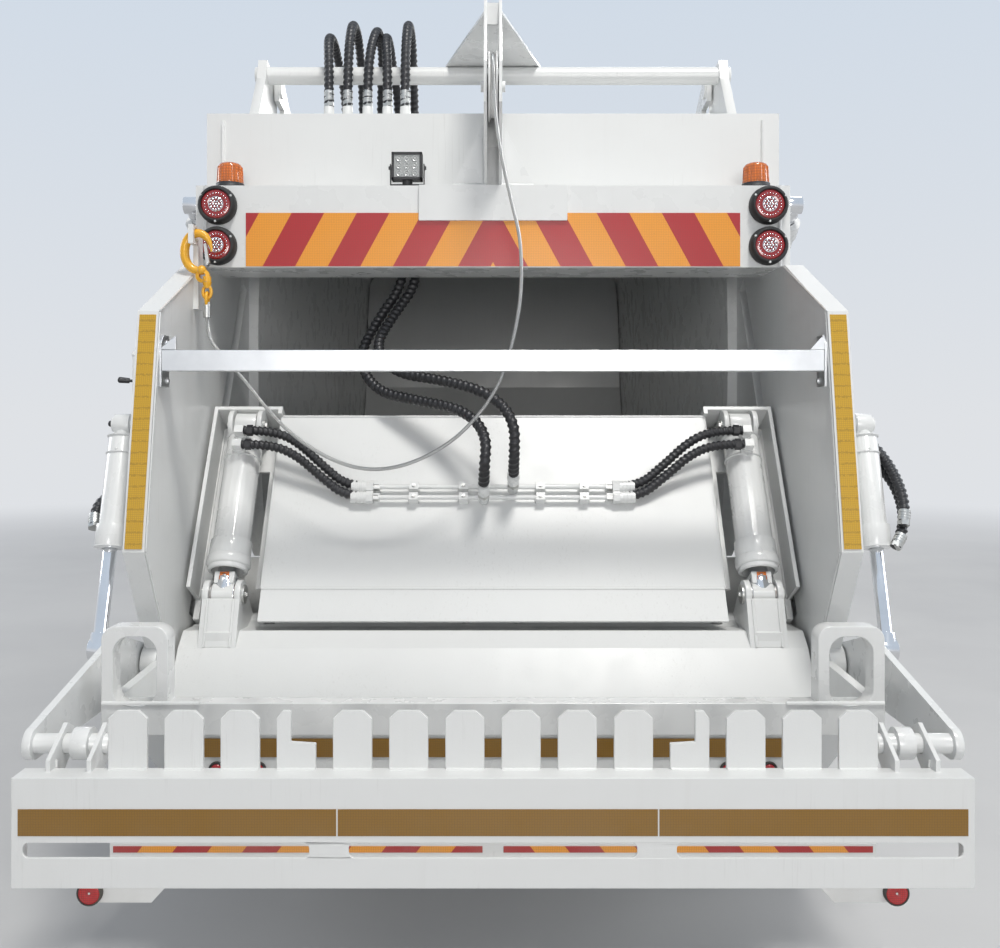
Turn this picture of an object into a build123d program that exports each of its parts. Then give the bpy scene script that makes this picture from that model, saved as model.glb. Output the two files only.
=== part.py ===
"""Rear-loading refuse truck: forward-control cab, hollow refuse body with an ejector wall, and a
tailgate that holds the hopper, the sliding packer carrier with its sweep blade, a winch mast and a
comb bin lifter. Millimetres; +X right, +Y forward, +Z up; origin on the ground under the middle."""

from build123d import *
from math import asin, atan2, cos, degrees, hypot, radians, sin
import os

os.makedirs("parts", exist_ok=True)

# Overall sizes and the running gaps that every moving piece keeps
overall_length = 8200
front_y = overall_length / 2
rear_y = -overall_length / 2
gap = 8
seat = 0.3
cab_length = 1940
cab_body_gap = 160

# Wheels and axles
tyre_r = 505
tyre_width = 270
rim_r = 286
rim_width = 210
wheelbase = 4120
front_overhang = 1330
front_axle_y = front_y - front_overhang
rear_axle_y = front_axle_y - wheelbase
axle_z = tyre_r
front_track = 1990
twin_spacing = 310
rear_track = 1800
kingpin_x = 830
hub_r = 120
knuckle_r = 42
steer_arm_length = 170

# Chassis
rail_x = 425
rail_height = 260
rail_flange = 80
rail_plate = 10
rail_top = 1000
rail_rear_y = -1960
rail_front_y = front_y - 330

# Refuse body
body_half = 1150
body_wall = 24
body_floor_z = 1090
body_roof_z = 3050
body_rear_y = -2000
body_front_y = front_y - cab_length - cab_body_gap
body_ring = 46
body_ring_length = 90
body_corner = 170

# Tailgate: side cheeks, hopper, packer slide direction
cheek_outer = 1190
cheek_inner = 1120
cheek_plate = cheek_outer - cheek_inner
joint_face_gap = 12
tailgate_front_y = body_rear_y - joint_face_gap
hinge_y, hinge_z = -2060, 3215
hinge_boss_r = 55
hinge_ear_x = 1010
hinge_ear_width = 40
hood_rear_y = -2440
hood_top_z = 2990
cheek_top_z = 3120
bar_rear_y = -2700
bar_top_z = 2630
bar_bottom_z = 2310
bar_plate = 12
bar_half = 1160
hopper_plate = 16
sill_y, sill_z = -3600, 884
sill_half = 1150
sill_drop = 95

# Packer carrier and sweep blade, in the slide frame whose origin is the blade's hinge at rest
slide_angle = 60
blade_hinge_y, blade_hinge_z = -2830, 930
blade_length = 500
blade_rest_angle = 34
carrier_half = 1105
carrier_stroke = 700
channel_width = 265
carrier_top_s = 800
carrier_bottom_s = 75
skirt_bottom_s = -45
carrier_back_t = 95
carrier_face_t = 215
cheek_edge_t = 248
channel_plate = 14
guide_shoe_t = 60
hinge_pin_r = 45
eye_offset_y, eye_offset_z = -155, 155
cylinder_x = 970
sweep_barrel_r = 68
sweep_rod_r = 34
head_collar = 7
blade_swing = 95
sweep_anchor_s, sweep_anchor_t = 757, 222

# Comb bin lifter
beam_half = 1205
beam_depth = 72
beam_top_z, beam_bottom_z = 820, 543
beam_plate = 8
comb_height = 150
comb_width = 100
comb_pitch = 144
comb_count = 14
comb_plate = 12
lift_pivot_y, lift_pivot_z = -3150, 880
beam_pin_y, beam_pin_z = -3960, 862
lifter_eye_y, lifter_eye_z = -3400, 980
lifter_anchor_y, lifter_anchor_z = -3180, 1700
arm_x = 1204
arm_plate = 22
beam_pin_x = 1080
lifter_barrel_r = 44
lifter_rod_r = 22
lifter_barrel_length = 420
lifter_cylinder_x = 1262

# Tailgate lift cylinders
lift_anchor_y, lift_anchor_z = -1450, 1950
lift_eye_y, lift_eye_z = -2380, 2620
lift_barrel_r = 50
lift_rod_r = 28
lift_cylinder_x = 1262
lift_eye_half, lift_pin_r = 38, 20
lifter_eye_half, lifter_pin_r = 26, 16
hinge_pin_half = 24
blade_pin_r = 30
sweep_pin_r = 22
arm_pivot_pin_r = 30

# Hose loops over the tailgate hinge
loop_r = 17
loop_places = (-700, -620, -535, -450, -375)
loop_rear_y, loop_front_y = -2330, -1820
loop_rear_z, loop_front_z = 3050, 3076
feed_y, feed_z, feed_x = -2390, 2440, -340

# Cab
cab_half = 1150
cab_rear_y = front_y - cab_length
cab_bottom_z = 1130
cab_roof_z = 2680
cab_wall = 50
cab_front_y = front_y - 50
cab_corner = 160
door_length = 920
door_front_y = front_y - 220
door_rear_y = door_front_y - door_length
door_bottom_z = cab_bottom_z + 34
door_top_z = 2480
door_gap = 7
sill_line_z = 1800
glass = 6
tilt_y, tilt_z, tilt_plate = front_y - 250, 1062, 22
tilt_pin_r = 16
door_pin_r = 7


def block(x, y, z, mode=Mode.ADD):
    """A box between two limits on each axis."""
    with Locations(((x[0] + x[1]) / 2, (y[0] + y[1]) / 2, (z[0] + z[1]) / 2)):
        Box(abs(x[1] - x[0]), abs(y[1] - y[0]), abs(z[1] - z[0]), mode=mode)


def side_plate(points, x_from, x_to, mode=Mode.ADD, corner=0):
    """A plate with its outline given in (y, z), from one x to another."""
    with BuildSketch(Plane.YZ.offset(x_from)) as outline:
        Polygon(*points, align=None)
        if corner:
            fillet(outline.vertices(), corner)
    extrude(outline.sketch, amount=x_to - x_from, mode=mode)


def plan_plate(points, z_from, z_to, mode=Mode.ADD):
    """A plate with its outline given in (x, y), from one z to another."""
    with BuildSketch(Plane.XY.offset(z_from)) as outline:
        Polygon(*points, align=None)
    extrude(outline.sketch, amount=z_to - z_from, mode=mode)


def cross_bar(y, z, radius, x_from, x_to, mode=Mode.ADD):
    """A round bar or bore along X."""
    with BuildSketch(Plane.YZ.offset(x_from)) as disc:
        with Locations((y, z)):
            Circle(radius)
    extrude(disc.sketch, amount=x_to - x_from, mode=mode)


def along(start, end):
    """A plane at start whose normal points to end, with its x direction along the world's X."""
    return Plane(origin=start, x_dir=(1, 0, 0), z_dir=(Vector(*end) - Vector(*start)).normalized())


def rod_between(start, end, radius, mode=Mode.ADD):
    """A round bar from one point to another in a plane of constant x."""
    with BuildSketch(along(start, end)) as disc:
        Circle(radius)
    extrude(disc.sketch, amount=(Vector(*end) - Vector(*start)).length, mode=mode)


def on_slide(s, t):
    """(y, z) of a point s up the packer slide and t out towards the loader, from the blade hinge."""
    up, out = radians(slide_angle), radians(slide_angle + 90)
    return (
        blade_hinge_y + s * cos(up) + t * cos(out),
        blade_hinge_z + s * sin(up) + t * sin(out),
    )


def anchor_pin(y, z, radius, side, start, end):
    """A pin that stands out from a side plate through a cylinder's eye, with its cap."""
    reach = (side * start, side * (end + 10))
    cap = (side * (end + 1), side * (end + 10))
    cross_bar(y, z, radius, min(reach), max(reach))
    cross_bar(y, z, radius + 9, min(cap), max(cap))


def keep(piece, name):
    """Labels a finished piece and writes it."""
    piece.label = name
    export_step(piece, f"parts/{name}.step")


# Chassis frame: two channel rails and their crossmembers
crossmember_depth = 120
# columns: y of the crossmember's middle, height of its top below the rail top
crossmembers = [(rail_rear_y + 80, 40), (-700, 60), (400, 60), (1500, 60), (rail_front_y - 80, 70)]
with BuildPart() as chassis_frame:
    for side in (-1, 1):
        web = side * rail_x
        inner = side * (rail_x - rail_flange)
        block((web, web - side * rail_plate), (rail_rear_y, rail_front_y), (rail_top - rail_height, rail_top))
        block((web, inner), (rail_rear_y, rail_front_y), (rail_top - rail_plate, rail_top))
        block((web, inner), (rail_rear_y, rail_front_y),
              (rail_top - rail_height, rail_top - rail_height + rail_plate))
    for y, drop in crossmembers:
        top = rail_top - drop
        reach = rail_x - rail_plate
        block((-reach, reach), (y - crossmember_depth / 2, y + crossmember_depth / 2), (top - rail_plate, top))
        for edge in (-1, 1):
            face = y + edge * crossmember_depth / 2
            block((-reach, reach), (face, face - edge * rail_plate), (top - crossmember_depth, top))
    # brackets that carry the cab's front tilt hinge
    for side in (-1, 1):
        plate = (side * rail_x, side * (rail_x + tilt_plate))
        side_plate([(tilt_y - 210, rail_top - 160), (tilt_y - 210, rail_top), (tilt_y - 50, tilt_z + 34), (tilt_y + 34, tilt_z + 34),
                    (tilt_y + 34, tilt_z - 34), (tilt_y - 80, rail_top - 160)], min(plate), max(plate))
        anchor_pin(tilt_y, tilt_z, tilt_pin_r, side, rail_x + 2, rail_x + tilt_plate + gap + 26)
keep(chassis_frame.part, "chassis_frame")

# Leaf springs, arched between their hangers, over the axles
# columns: axle y, x of the spring's middle, half length, seat height over the axle, leaf stack
spring_width = 76
rail_bottom = rail_top - rail_height
hanger_length = 90
springs = [(front_axle_y, rail_x - 45, 640, 60, 66), (rear_axle_y, rail_x - 45, 560, 95, 84)]
with BuildPart() as leaf_springs:
    for y, x, half_span, lift, stack in springs:
        low = axle_z + lift
        eye_z = rail_bottom - 62
        for side in (-1, 1):
            with BuildSketch(Plane.YZ.offset(side * x - spring_width / 2)) as leaf:
                with BuildLine():
                    top = ThreePointArc((y - half_span, eye_z), (y, low + stack), (y + half_span, eye_z))
                    lower = ThreePointArc((y - half_span, eye_z - 16), (y, low), (y + half_span, eye_z - 16))
                    Line(top @ 0, lower @ 0)
                    Line(top @ 1, lower @ 1)
                make_face()
            extrude(leaf.sketch, amount=spring_width)
            for end in (-1, 1):
                eye_y = y + end * half_span
                cross_bar(eye_y, eye_z - 8, 26, side * x - spring_width / 2, side * x + spring_width / 2)
                block((side * x - spring_width / 2, side * x + spring_width / 2),
                      (eye_y - hanger_length / 2, eye_y + hanger_length / 2), (eye_z + 10, rail_bottom))
keep(leaf_springs.part, "leaf_springs")

# Front axle beam with its kingpin eyes
beam_drop = 55
kingpin_r = 24
eye_height = 96
with BuildPart() as front_axle:
    with BuildSketch(Plane.XZ.offset(-front_axle_y - 45)) as profile:
        Polygon(
            (-kingpin_x, axle_z + 45), (-740, axle_z + 45), (-600, axle_z - beam_drop + 50),
            (600, axle_z - beam_drop + 50), (740, axle_z + 45), (kingpin_x, axle_z + 45),
            (kingpin_x, axle_z - 45), (740, axle_z - 45), (600, axle_z - beam_drop - 50),
            (-600, axle_z - beam_drop - 50), (-740, axle_z - 45), (-kingpin_x, axle_z - 45), align=None,
        )
    extrude(profile.sketch, amount=90)
    for side in (-1, 1):
        with Locations((side * kingpin_x, front_axle_y, axle_z)):
            Cylinder(48, eye_height)
        with Locations((side * kingpin_x, front_axle_y, axle_z)):
            Cylinder(kingpin_r + seat, eye_height, mode=Mode.SUBTRACT)
        block((side * (rail_x - 45) - 50, side * (rail_x - 45) + 50), (front_axle_y - 70, front_axle_y + 70),
              (axle_z - 5, axle_z + springs[0][3]))
keep(front_axle.part, "front_axle")

gearbox_rear_y = front_y - 2050
gearbox_length = 200
# Driven rear axle: tapered housing, differential bowl and propeller shaft
diff_r = 205
housing_r = 78
spindle_r = knuckle_r
rear_hub_inner_x = rear_track / 2 - twin_spacing / 2 - tyre_width / 2 - 20
shaft_r = 45
with BuildPart() as rear_axle:
    with BuildSketch(Plane.XY.offset(axle_z)) as bowl:
        with Locations((0, rear_axle_y)):
            Rectangle(2 * rear_hub_inner_x, 2 * housing_r)
            Circle(diff_r)
        fillet(bowl.vertices().filter_by_position(Axis.X, -diff_r - 1, diff_r + 1), 60)
    extrude(bowl.sketch, amount=housing_r, both=True)
    with Locations((0, rear_axle_y, axle_z)):
        Sphere(diff_r * 0.9)
    with Locations(Location((0, rear_axle_y, axle_z), (0, 90, 0))):
        Cylinder(spindle_r, 2 * (rear_track / 2 + 70))
    for side in (-1, 1):
        block((side * (rail_x - 45) - 50, side * (rail_x - 45) + 50), (rear_axle_y - 80, rear_axle_y + 80),
              (axle_z + housing_r - 5, axle_z + springs[1][3]))
    rod_between((0, rear_axle_y + 150, axle_z), (0, gearbox_rear_y - 10, axle_z + 230), shaft_r)
    block((-58, 58), (gearbox_rear_y - 16, gearbox_rear_y), (axle_z + 230 - 58, axle_z + 230 + 58))
keep(rear_axle.part, "rear_axle")

# Engine and gearbox, one plain mass between the rails, under the cab floor
with BuildPart() as engine_block:
    block((-300, 300), (gearbox_rear_y + gearbox_length, gearbox_rear_y + 1280), (680, cab_bottom_z - 40))
    block((-190, 190), (gearbox_rear_y + seat, gearbox_rear_y + gearbox_length), (640, 880))
keep(engine_block.part, "engine_block")

# Front bumper with lamp pockets and the lower front corner steps
bumper_half = 1150
bumper_bottom, bumper_top = 430, 860
bumper_depth = 190
lamp_x, lamp_z = 900, 640
lamp_half_width, lamp_half_height = 130, 78
pocket_depth = 60
towing_y, towing_z = front_y - 40, 560
towing_lug, towing_bore_r = 36, 18
with BuildPart() as front_bumper:
    with BuildSketch(Plane.XY.offset(bumper_bottom)) as outline:
        with BuildLine():
            FilletPolyline(
                (-bumper_half, front_y - 640), (-bumper_half, front_y - 110), (-bumper_half + 190, front_y),
                (bumper_half - 190, front_y), (bumper_half, front_y - 110), (bumper_half, front_y - 640),
                (bumper_half - 40, front_y - 640), (bumper_half - 40, front_y - 150),
                (bumper_half - 200, front_y - bumper_depth), (-bumper_half + 200, front_y - bumper_depth),
                (-bumper_half + 40, front_y - 150), (-bumper_half + 40, front_y - 640),
                radius=14, close=True,
            )
        make_face()
    extrude(outline.sketch, amount=bumper_top - bumper_bottom)
    for side in (-1, 1):
        block((side * lamp_x - lamp_half_width, side * lamp_x + lamp_half_width),
              (front_y - pocket_depth, front_y + 5),
              (lamp_z - lamp_half_height, lamp_z + lamp_half_height), mode=Mode.SUBTRACT)
        # bumper bracket back to the rail
        block((side * (rail_x - 10), side * (rail_x - 70)), (rail_front_y, front_y - bumper_depth + 5),
              (rail_bottom, rail_top - 120))
        # boarding steps cut in the side return
        for step_z in (bumper_bottom + 60, bumper_bottom + 260):
            block((side * (bumper_half - 60), side * (bumper_half + 5)), (front_y - 560, front_y - 250),
                  (step_z, step_z + 120), mode=Mode.SUBTRACT)
    block((-470, 470), (front_y - 30, front_y + 5), (lamp_z - 70, lamp_z + 30), mode=Mode.SUBTRACT)
    # towing eye: a lug with an upright bore, set in a pocket that is open in front and below
    block((-90, 90), (front_y - 105, front_y + 5), (bumper_bottom - 5, lamp_z + 30), mode=Mode.SUBTRACT)
    block((-towing_lug, towing_lug), (front_y - 115, towing_y), (towing_z - 15, towing_z + 15))
    with Locations((0, towing_y, towing_z)):
        Cylinder(towing_lug, 30)
        Cylinder(towing_bore_r, 40, mode=Mode.SUBTRACT)
keep(front_bumper.part, "front_bumper")

# Headlamps and front corner lamps set in the pockets
with BuildPart() as headlamps:
    for side in (-1, 1):
        block((side * lamp_x - lamp_half_width, side * lamp_x + lamp_half_width),
              (front_y - pocket_depth, front_y - 34),
              (lamp_z - lamp_half_height, lamp_z + lamp_half_height))
        for x, r in ((side * lamp_x - side * 58, 62), (side * lamp_x + side * 66, 50)):
            with Locations(Location((x, front_y - 34, lamp_z), (-90, 0, 0))):
                Cylinder(r, 26, align=(Align.CENTER, Align.CENTER, Align.MIN))
keep(headlamps.part, "headlamps")

# Wheels. Every profile is (x from the wheel's middle, outwards; radius) and is turned about the axle
rim_plate = 16
rim_lip = 14
lip_width = 8
bead_width = 24
disc_plate = 12
drum_r, drum_wall = 205, 22
hub_flange_r = 165
hub_bore_r = knuckle_r + seat
hub_cap_r = 88
nut_circle_r, nut_r, nut_count = 143, 14, 10
hand_hole_circle_r, hand_hole_r, hand_hole_count = 212, 26, 8
half_rim = rim_width / 2
half_tyre = tyre_width / 2
groove_depth, groove_width = 13, 11
tyre_wall = 26


def turned(x, y, side, profile, mode=Mode.ADD):
    """Turns a closed (x, radius) profile about an axle; side mirrors it outwards."""
    plane = Plane(origin=(x, y, axle_z), x_dir=(1, 0, 0), z_dir=(0, -1, 0))
    with BuildSketch(plane) as section:
        Polygon(*[(side * px, r) for px, r in profile], align=None)
    revolve(section.sketch, axis=Axis((x, y, axle_z), (1, 0, 0)), mode=mode)


def tyre(x, y, side):
    """A hollow tyre, its beads on the rim and three grooves round its tread."""
    crown = []
    for middle in (-half_tyre / 2, 0, half_tyre / 2):
        crown += [(middle - groove_width / 2, tyre_r), (middle - groove_width / 2, tyre_r - groove_depth),
                  (middle + groove_width / 2, tyre_r - groove_depth), (middle + groove_width / 2, tyre_r)]
    outer = [(-half_rim, rim_r), (-half_rim, rim_r + rim_lip + 4), (-half_tyre, rim_r + 95),
             (-half_tyre + 6, tyre_r - 28), (-half_tyre + 26, tyre_r)]
    inner = [(half_rim - bead_width, rim_r), (half_tyre - tyre_wall, rim_r + 95),
             (half_tyre - 36, tyre_r - 46), (-half_tyre + 36, tyre_r - 46), (-half_tyre + tyre_wall, rim_r + 95),
             (-half_rim + bead_width, rim_r)]
    far = [(-px, r) for px, r in reversed(outer)]
    turned(x, y, side, outer + crown + far + inner)


def rim(x, y, side, disc_at):
    """A disc wheel: barrel with lips, and a disc with hand holes where disc_at says, outwards."""
    turned(x, y, side, [
        (-half_rim - lip_width, rim_r - rim_plate), (-half_rim - lip_width, rim_r + rim_lip),
        (-half_rim, rim_r + rim_lip), (-half_rim, rim_r), (half_rim, rim_r), (half_rim, rim_r + rim_lip),
        (half_rim + lip_width, rim_r + rim_lip), (half_rim + lip_width, rim_r - rim_plate)])
    turned(x, y, side, [
        (disc_at - 34, rim_r - rim_plate + 1), (disc_at, hub_flange_r + 12), (disc_at, hub_bore_r),
        (disc_at + disc_plate, hub_bore_r), (disc_at + disc_plate, hub_flange_r + 16),
        (disc_at - 18, rim_r - rim_plate + 1)])
    reach = Plane(origin=(x + side * (disc_at - 40), y, axle_z), z_dir=(side, 0, 0))
    with BuildSketch(reach) as holes:
        with PolarLocations(hand_hole_circle_r, hand_hole_count):
            Circle(hand_hole_r)
    extrude(holes.sketch, amount=60, mode=Mode.SUBTRACT)


def hub(x, y, side, inner, outer, cap, nut_face):
    """Brake drum, hub barrel, wheel nuts and hub cap between two distances from the wheel's middle."""
    turned(x, y, side, [
        (inner, drum_r - drum_wall), (inner, drum_r), (inner + 120, drum_r), (inner + 120, hub_bore_r),
        (inner + 100, hub_bore_r), (inner + 100, drum_r - drum_wall)])
    turned(x, y, side, [(inner + 100, hub_bore_r), (inner + 100, hub_cap_r), (outer, hub_cap_r), (outer, hub_bore_r)])
    turned(x, y, side, [
        (outer, 0), (outer, hub_cap_r), (outer + cap, hub_cap_r - 10), (outer + cap, 0)])
    face = Plane(origin=(x + side * (nut_face - 2), y, axle_z), z_dir=(side, 0, 0))
    with BuildSketch(face) as nuts:
        with PolarLocations(nut_circle_r, nut_count):
            RegularPolygon(nut_r, 6)
    extrude(nuts.sketch, amount=24)


front_disc_at = 62
rear_disc_at = twin_spacing / 2 - disc_plate
drum_inner_front = -72
drum_inner_rear = -240
for side, hand in ((-1, "left"), (1, "right")):
    x = side * front_track / 2
    with BuildPart() as front_wheel:
        rim(x, front_axle_y, side, front_disc_at)
        hub(x, front_axle_y, side, drum_inner_front, front_disc_at + disc_plate + 10, 34,
            front_disc_at + disc_plate)
    keep(front_wheel.part, f"front_wheel_{hand}")
    with BuildPart() as front_tyre:
        tyre(x, front_axle_y, side)
    keep(front_tyre.part, f"front_tyre_{hand}")
    # the twin wheels are bolted disc to disc, so they are one piece on one bearing
    x = side * rear_track / 2
    with BuildPart() as rear_wheels:
        rim(x - side * twin_spacing / 2, rear_axle_y, side, rear_disc_at)
        rim(x + side * twin_spacing / 2, rear_axle_y, -side, rear_disc_at)
        hub(x, rear_axle_y, side, drum_inner_rear, 72, 60, disc_plate)
    keep(rear_wheels.part, f"rear_wheels_{hand}")
    with BuildPart() as rear_tyres:
        for place in (-1, 1):
            tyre(x + place * twin_spacing / 2, rear_axle_y, side)
    keep(rear_tyres.part, f"rear_tyres_{hand}")

    # Steering knuckle: fork round the axle's eye, spindle, brake back plate and steering arm
    fork_gap = 6
    fork_plate = 34
    fork_half = 44
    web_x = kingpin_x + 60
    with BuildPart() as knuckle:
        for level in (-1, 1):
            near = axle_z + level * (eye_height / 2 + fork_gap)
            block((side * kingpin_x, side * (web_x + 20)), (front_axle_y - fork_half, front_axle_y + fork_half),
                  (near, near + level * fork_plate))
            with Locations((side * kingpin_x, front_axle_y, near + level * fork_plate / 2)):
                Cylinder(fork_half, fork_plate)
            with Locations((side * kingpin_x, front_axle_y, near + level * (fork_plate + 6))):
                Cylinder(kingpin_r + 6, 12)
        reach = eye_height / 2 + fork_gap + fork_plate
        with Locations((side * kingpin_x, front_axle_y, axle_z)):
            Cylinder(kingpin_r, 2 * reach)
        block((side * web_x, side * (web_x + 22)), (front_axle_y - fork_half, front_axle_y + fork_half),
              (axle_z - reach, axle_z + reach))
        cross_bar(front_axle_y, axle_z, drum_r - drum_wall - 12, side * (web_x + 16), side * (web_x + 22))
        cross_bar(front_axle_y, axle_z, knuckle_r, side * (web_x + 16),
                  side * (front_track / 2 + front_disc_at + disc_plate))
        block((side * (kingpin_x - 20), side * (kingpin_x + 20)),
              (front_axle_y - steer_arm_length, front_axle_y - 20),
              (axle_z - reach, axle_z - reach + fork_plate - 8))
    keep(knuckle.part, f"knuckle_{hand}")

# Refuse body: one hollow shell with bulged sides, outside rings, front wall and longitudinal sills
skin_half_floor = 1062
skin_half_belly = body_half - body_ring
skin_roof_z = body_roof_z - body_ring
roof_crown = 16
floor_corner = 50
ring_count = 8
rear_ring_length = 130
sill_width = 80


def body_section(inset, y):
    """The refuse body's cross-section, inset from its skin, on a plane at y that faces rearwards."""
    with BuildSketch(Plane.XZ.offset(-y)) as section:
        with BuildLine():
            left = ThreePointArc(
                (-skin_half_floor, body_floor_z), (-skin_half_belly, (body_floor_z + skin_roof_z) / 2),
                (-skin_half_floor, skin_roof_z - roof_crown))
            right = ThreePointArc(
                (skin_half_floor, body_floor_z), (skin_half_belly, (body_floor_z + skin_roof_z) / 2),
                (skin_half_floor, skin_roof_z - roof_crown))
            Line(left @ 0, right @ 0)
            ThreePointArc(left @ 1, (0, skin_roof_z), right @ 1)
        make_face()
        fillet(section.vertices().group_by(Axis.Y)[-1], body_corner)
        fillet(section.vertices().group_by(Axis.Y)[0], floor_corner)
        if inset:
            offset(amount=-inset, kind=Kind.INTERSECTION, mode=Mode.REPLACE)
    return section.sketch


with BuildPart() as body_shell:
    extrude(body_section(0, body_front_y), amount=body_front_y - body_rear_y)
    spread = (body_front_y - body_rear_y - rear_ring_length) / (ring_count - 1)
    for i in range(ring_count):
        length = rear_ring_length if i == ring_count - 1 else body_ring_length
        extrude(body_section(-body_ring, body_front_y - i * spread), amount=length)
    block((-body_half - 60, body_half + 60), (body_rear_y - 5, body_front_y + 5),
          (body_floor_z - body_ring - 20, body_floor_z), mode=Mode.SUBTRACT)
    extrude(body_section(body_wall, body_front_y - body_wall), amount=body_front_y - body_rear_y,
            mode=Mode.SUBTRACT)
    for side in (-1, 1):
        # sill down to the rail
        block((side * rail_x, side * (rail_x - sill_width)), (rail_rear_y, body_front_y - 60),
              (rail_top, body_floor_z + 5))
        # side rave under the floor's edge
        block((side * skin_half_floor, side * (skin_half_floor - 60)), (body_rear_y + 10, body_front_y),
              (body_floor_z - 46, body_floor_z + 5))
        # tailgate hinge ears on the roof's rear edge, a pair on each side
        for ear in (-1, 1):
            near = side * hinge_ear_x + ear * (hinge_ear_width / 2 + gap)
            far = near + ear * 22
            foot = skin_roof_z - (110 if side * ear > 0 else 50)
            side_plate([(body_rear_y + 330, foot), (body_rear_y + 4, foot),
                        (body_rear_y + 4, cheek_top_z + 18), (hinge_y - 46, cheek_top_z + 30),
                        (hinge_y - 46, hinge_z + 24), (hinge_y - 24, hinge_z + 46), (hinge_y + 46, hinge_z + 46),
                        (body_rear_y + 330, body_roof_z)], min(near, far), max(near, far))
        cross_bar(hinge_y, hinge_z, hinge_boss_r - 12, side * hinge_ear_x - side * (hinge_ear_width / 2 + gap + 30),
                  side * hinge_ear_x - side * (hinge_ear_width / 2 + gap))
        cross_bar(hinge_y, hinge_z, hinge_boss_r - 12, side * hinge_ear_x + side * (hinge_ear_width / 2 + gap),
                  side * hinge_ear_x + side * (hinge_ear_width / 2 + gap + 30))
        # anchor bracket for the tailgate lift cylinder
        with BuildSketch(Plane.YZ.offset(side * (skin_half_belly - 8))) as pad:
            with Locations((lift_anchor_y, lift_anchor_z)):
                RectangleRounded(230, 260, 30)
        extrude(pad.sketch, amount=side * (body_ring + 12))
        cross_bar(lift_anchor_y, lift_anchor_z, 30, side * (body_half - 10), side * (lift_cylinder_x - lift_barrel_r - 4))
        # hinge pin through both ears, and the pin that carries the lift cylinder's barrel
        reach = hinge_ear_width / 2 + gap + 22
        cross_bar(hinge_y, hinge_z, hinge_pin_half, side * hinge_ear_x - reach, side * hinge_ear_x + reach)
        anchor_pin(lift_anchor_y, lift_anchor_z, lift_pin_r, side, body_half, lift_cylinder_x + lift_eye_half)
    for x in loop_places:
        with Locations((x, loop_front_y, loop_front_z - 42)):
            Cylinder(loop_r + 5, 84)
keep(body_shell.part, "body_shell")

# Ejector wall that slides through the body and pushes the load out over the tail
ejector_gap = 10
ejector_front_y = body_front_y - body_wall - 60
ejector_length = 620
ejector_plate = 40
with BuildPart() as ejector_panel:
    extrude(body_section(body_wall + ejector_gap, ejector_front_y), amount=ejector_length)
    front, rear = ejector_front_y, ejector_front_y - ejector_length
    top = skin_roof_z
    side_plate([(front + 5, top), (front - 60, top), (front - 60, body_floor_z + 900),
                (rear + 40, body_floor_z + 120), (rear + 40, body_floor_z), (front + 5, body_floor_z)],
               -body_half, body_half, mode=Mode.INTERSECT)
    side_plate([(front + 5, top - 150), (front - 10, top - 150), (front - 10, body_floor_z + 890),
                (rear + 100, body_floor_z + 110), (rear + 100, body_floor_z + 70), (front + 5, body_floor_z + 70)],
               -skin_half_floor + 110, -40, mode=Mode.SUBTRACT)
    side_plate([(front + 5, top - 150), (front - 10, top - 150), (front - 10, body_floor_z + 890),
                (rear + 100, body_floor_z + 110), (rear + 100, body_floor_z + 70), (front + 5, body_floor_z + 70)],
               40, skin_half_floor - 110, mode=Mode.SUBTRACT)
    # runners on the body floor
    for side in (-1, 1):
        block((side * 600, side * 700), (rear + 60, front - 80),
              (body_floor_z + body_wall + seat, body_floor_z + body_wall + 40))
keep(ejector_panel.part, "ejector_panel")

# Forward-control cab: one form, offset inwards for the shell's inside, the doors and the glass
windscreen_base_z = 1830
windscreen_top_z = 2490
roof_edge_y = front_y - 310
glass_depth = 18


def cab_form(inset, mode=Mode.ADD):
    """The cab's outside form drawn in by inset: its side profile crossed with its plan."""
    points = [
        (cab_rear_y, cab_bottom_z), (cab_front_y - 40, cab_bottom_z), (cab_front_y, cab_bottom_z + 130),
        (cab_front_y, windscreen_base_z - 40), (cab_front_y - 130, windscreen_top_z + 60),
        (roof_edge_y - 60, cab_roof_z), (cab_rear_y, cab_roof_z)]
    with BuildPart(mode=Mode.PRIVATE) as form:
        with BuildSketch(Plane.YZ.offset(-cab_half - 20)) as profile:
            Polygon(*points, align=None)
            fillet(profile.vertices().group_by(Axis.Y)[-1], 70)
            if inset:
                offset(amount=-inset, kind=Kind.INTERSECTION, mode=Mode.REPLACE)
        extrude(profile.sketch, amount=2 * cab_half + 40)
        with BuildSketch(Plane.XY.offset(cab_bottom_z - 20)) as plan:
            Polygon((-cab_half, cab_rear_y), (cab_half, cab_rear_y), (cab_half, cab_front_y),
                    (-cab_half, cab_front_y), align=None)
            fillet(plan.vertices().group_by(Axis.Y)[-1], cab_corner)
            fillet(plan.vertices().group_by(Axis.Y)[0], cab_corner / 2)
            if inset:
                offset(amount=-inset, kind=Kind.INTERSECTION, mode=Mode.REPLACE)
        extrude(plan.sketch, amount=cab_roof_z - cab_bottom_z + 40, mode=Mode.INTERSECT)
    add(form.part, mode=mode)


def screen_opening(mode):
    """The windscreen's opening through the front wall."""
    half_low, half_high = cab_half - 120, cab_half - 150
    with BuildSketch(Plane.XZ.offset(-(cab_front_y - 300))) as outline:
        Polygon((-half_low, windscreen_base_z), (half_low, windscreen_base_z), (half_high, windscreen_top_z),
                (-half_high, windscreen_top_z), align=None)
        fillet(outline.vertices(), 60)
    extrude(outline.sketch, amount=-360, mode=mode)


def door_window(side, mode):
    """The opening of a door's window, through the door."""
    side_plate([(door_rear_y + 90, sill_line_z), (door_front_y - 110, sill_line_z - 30),
                (door_front_y - 150, door_top_z - 70), (door_rear_y + 90, door_top_z - 70)],
               min(side * (cab_half - 90), side * (cab_half + 10)),
               max(side * (cab_half - 90), side * (cab_half + 10)), mode=mode, corner=34)


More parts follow.
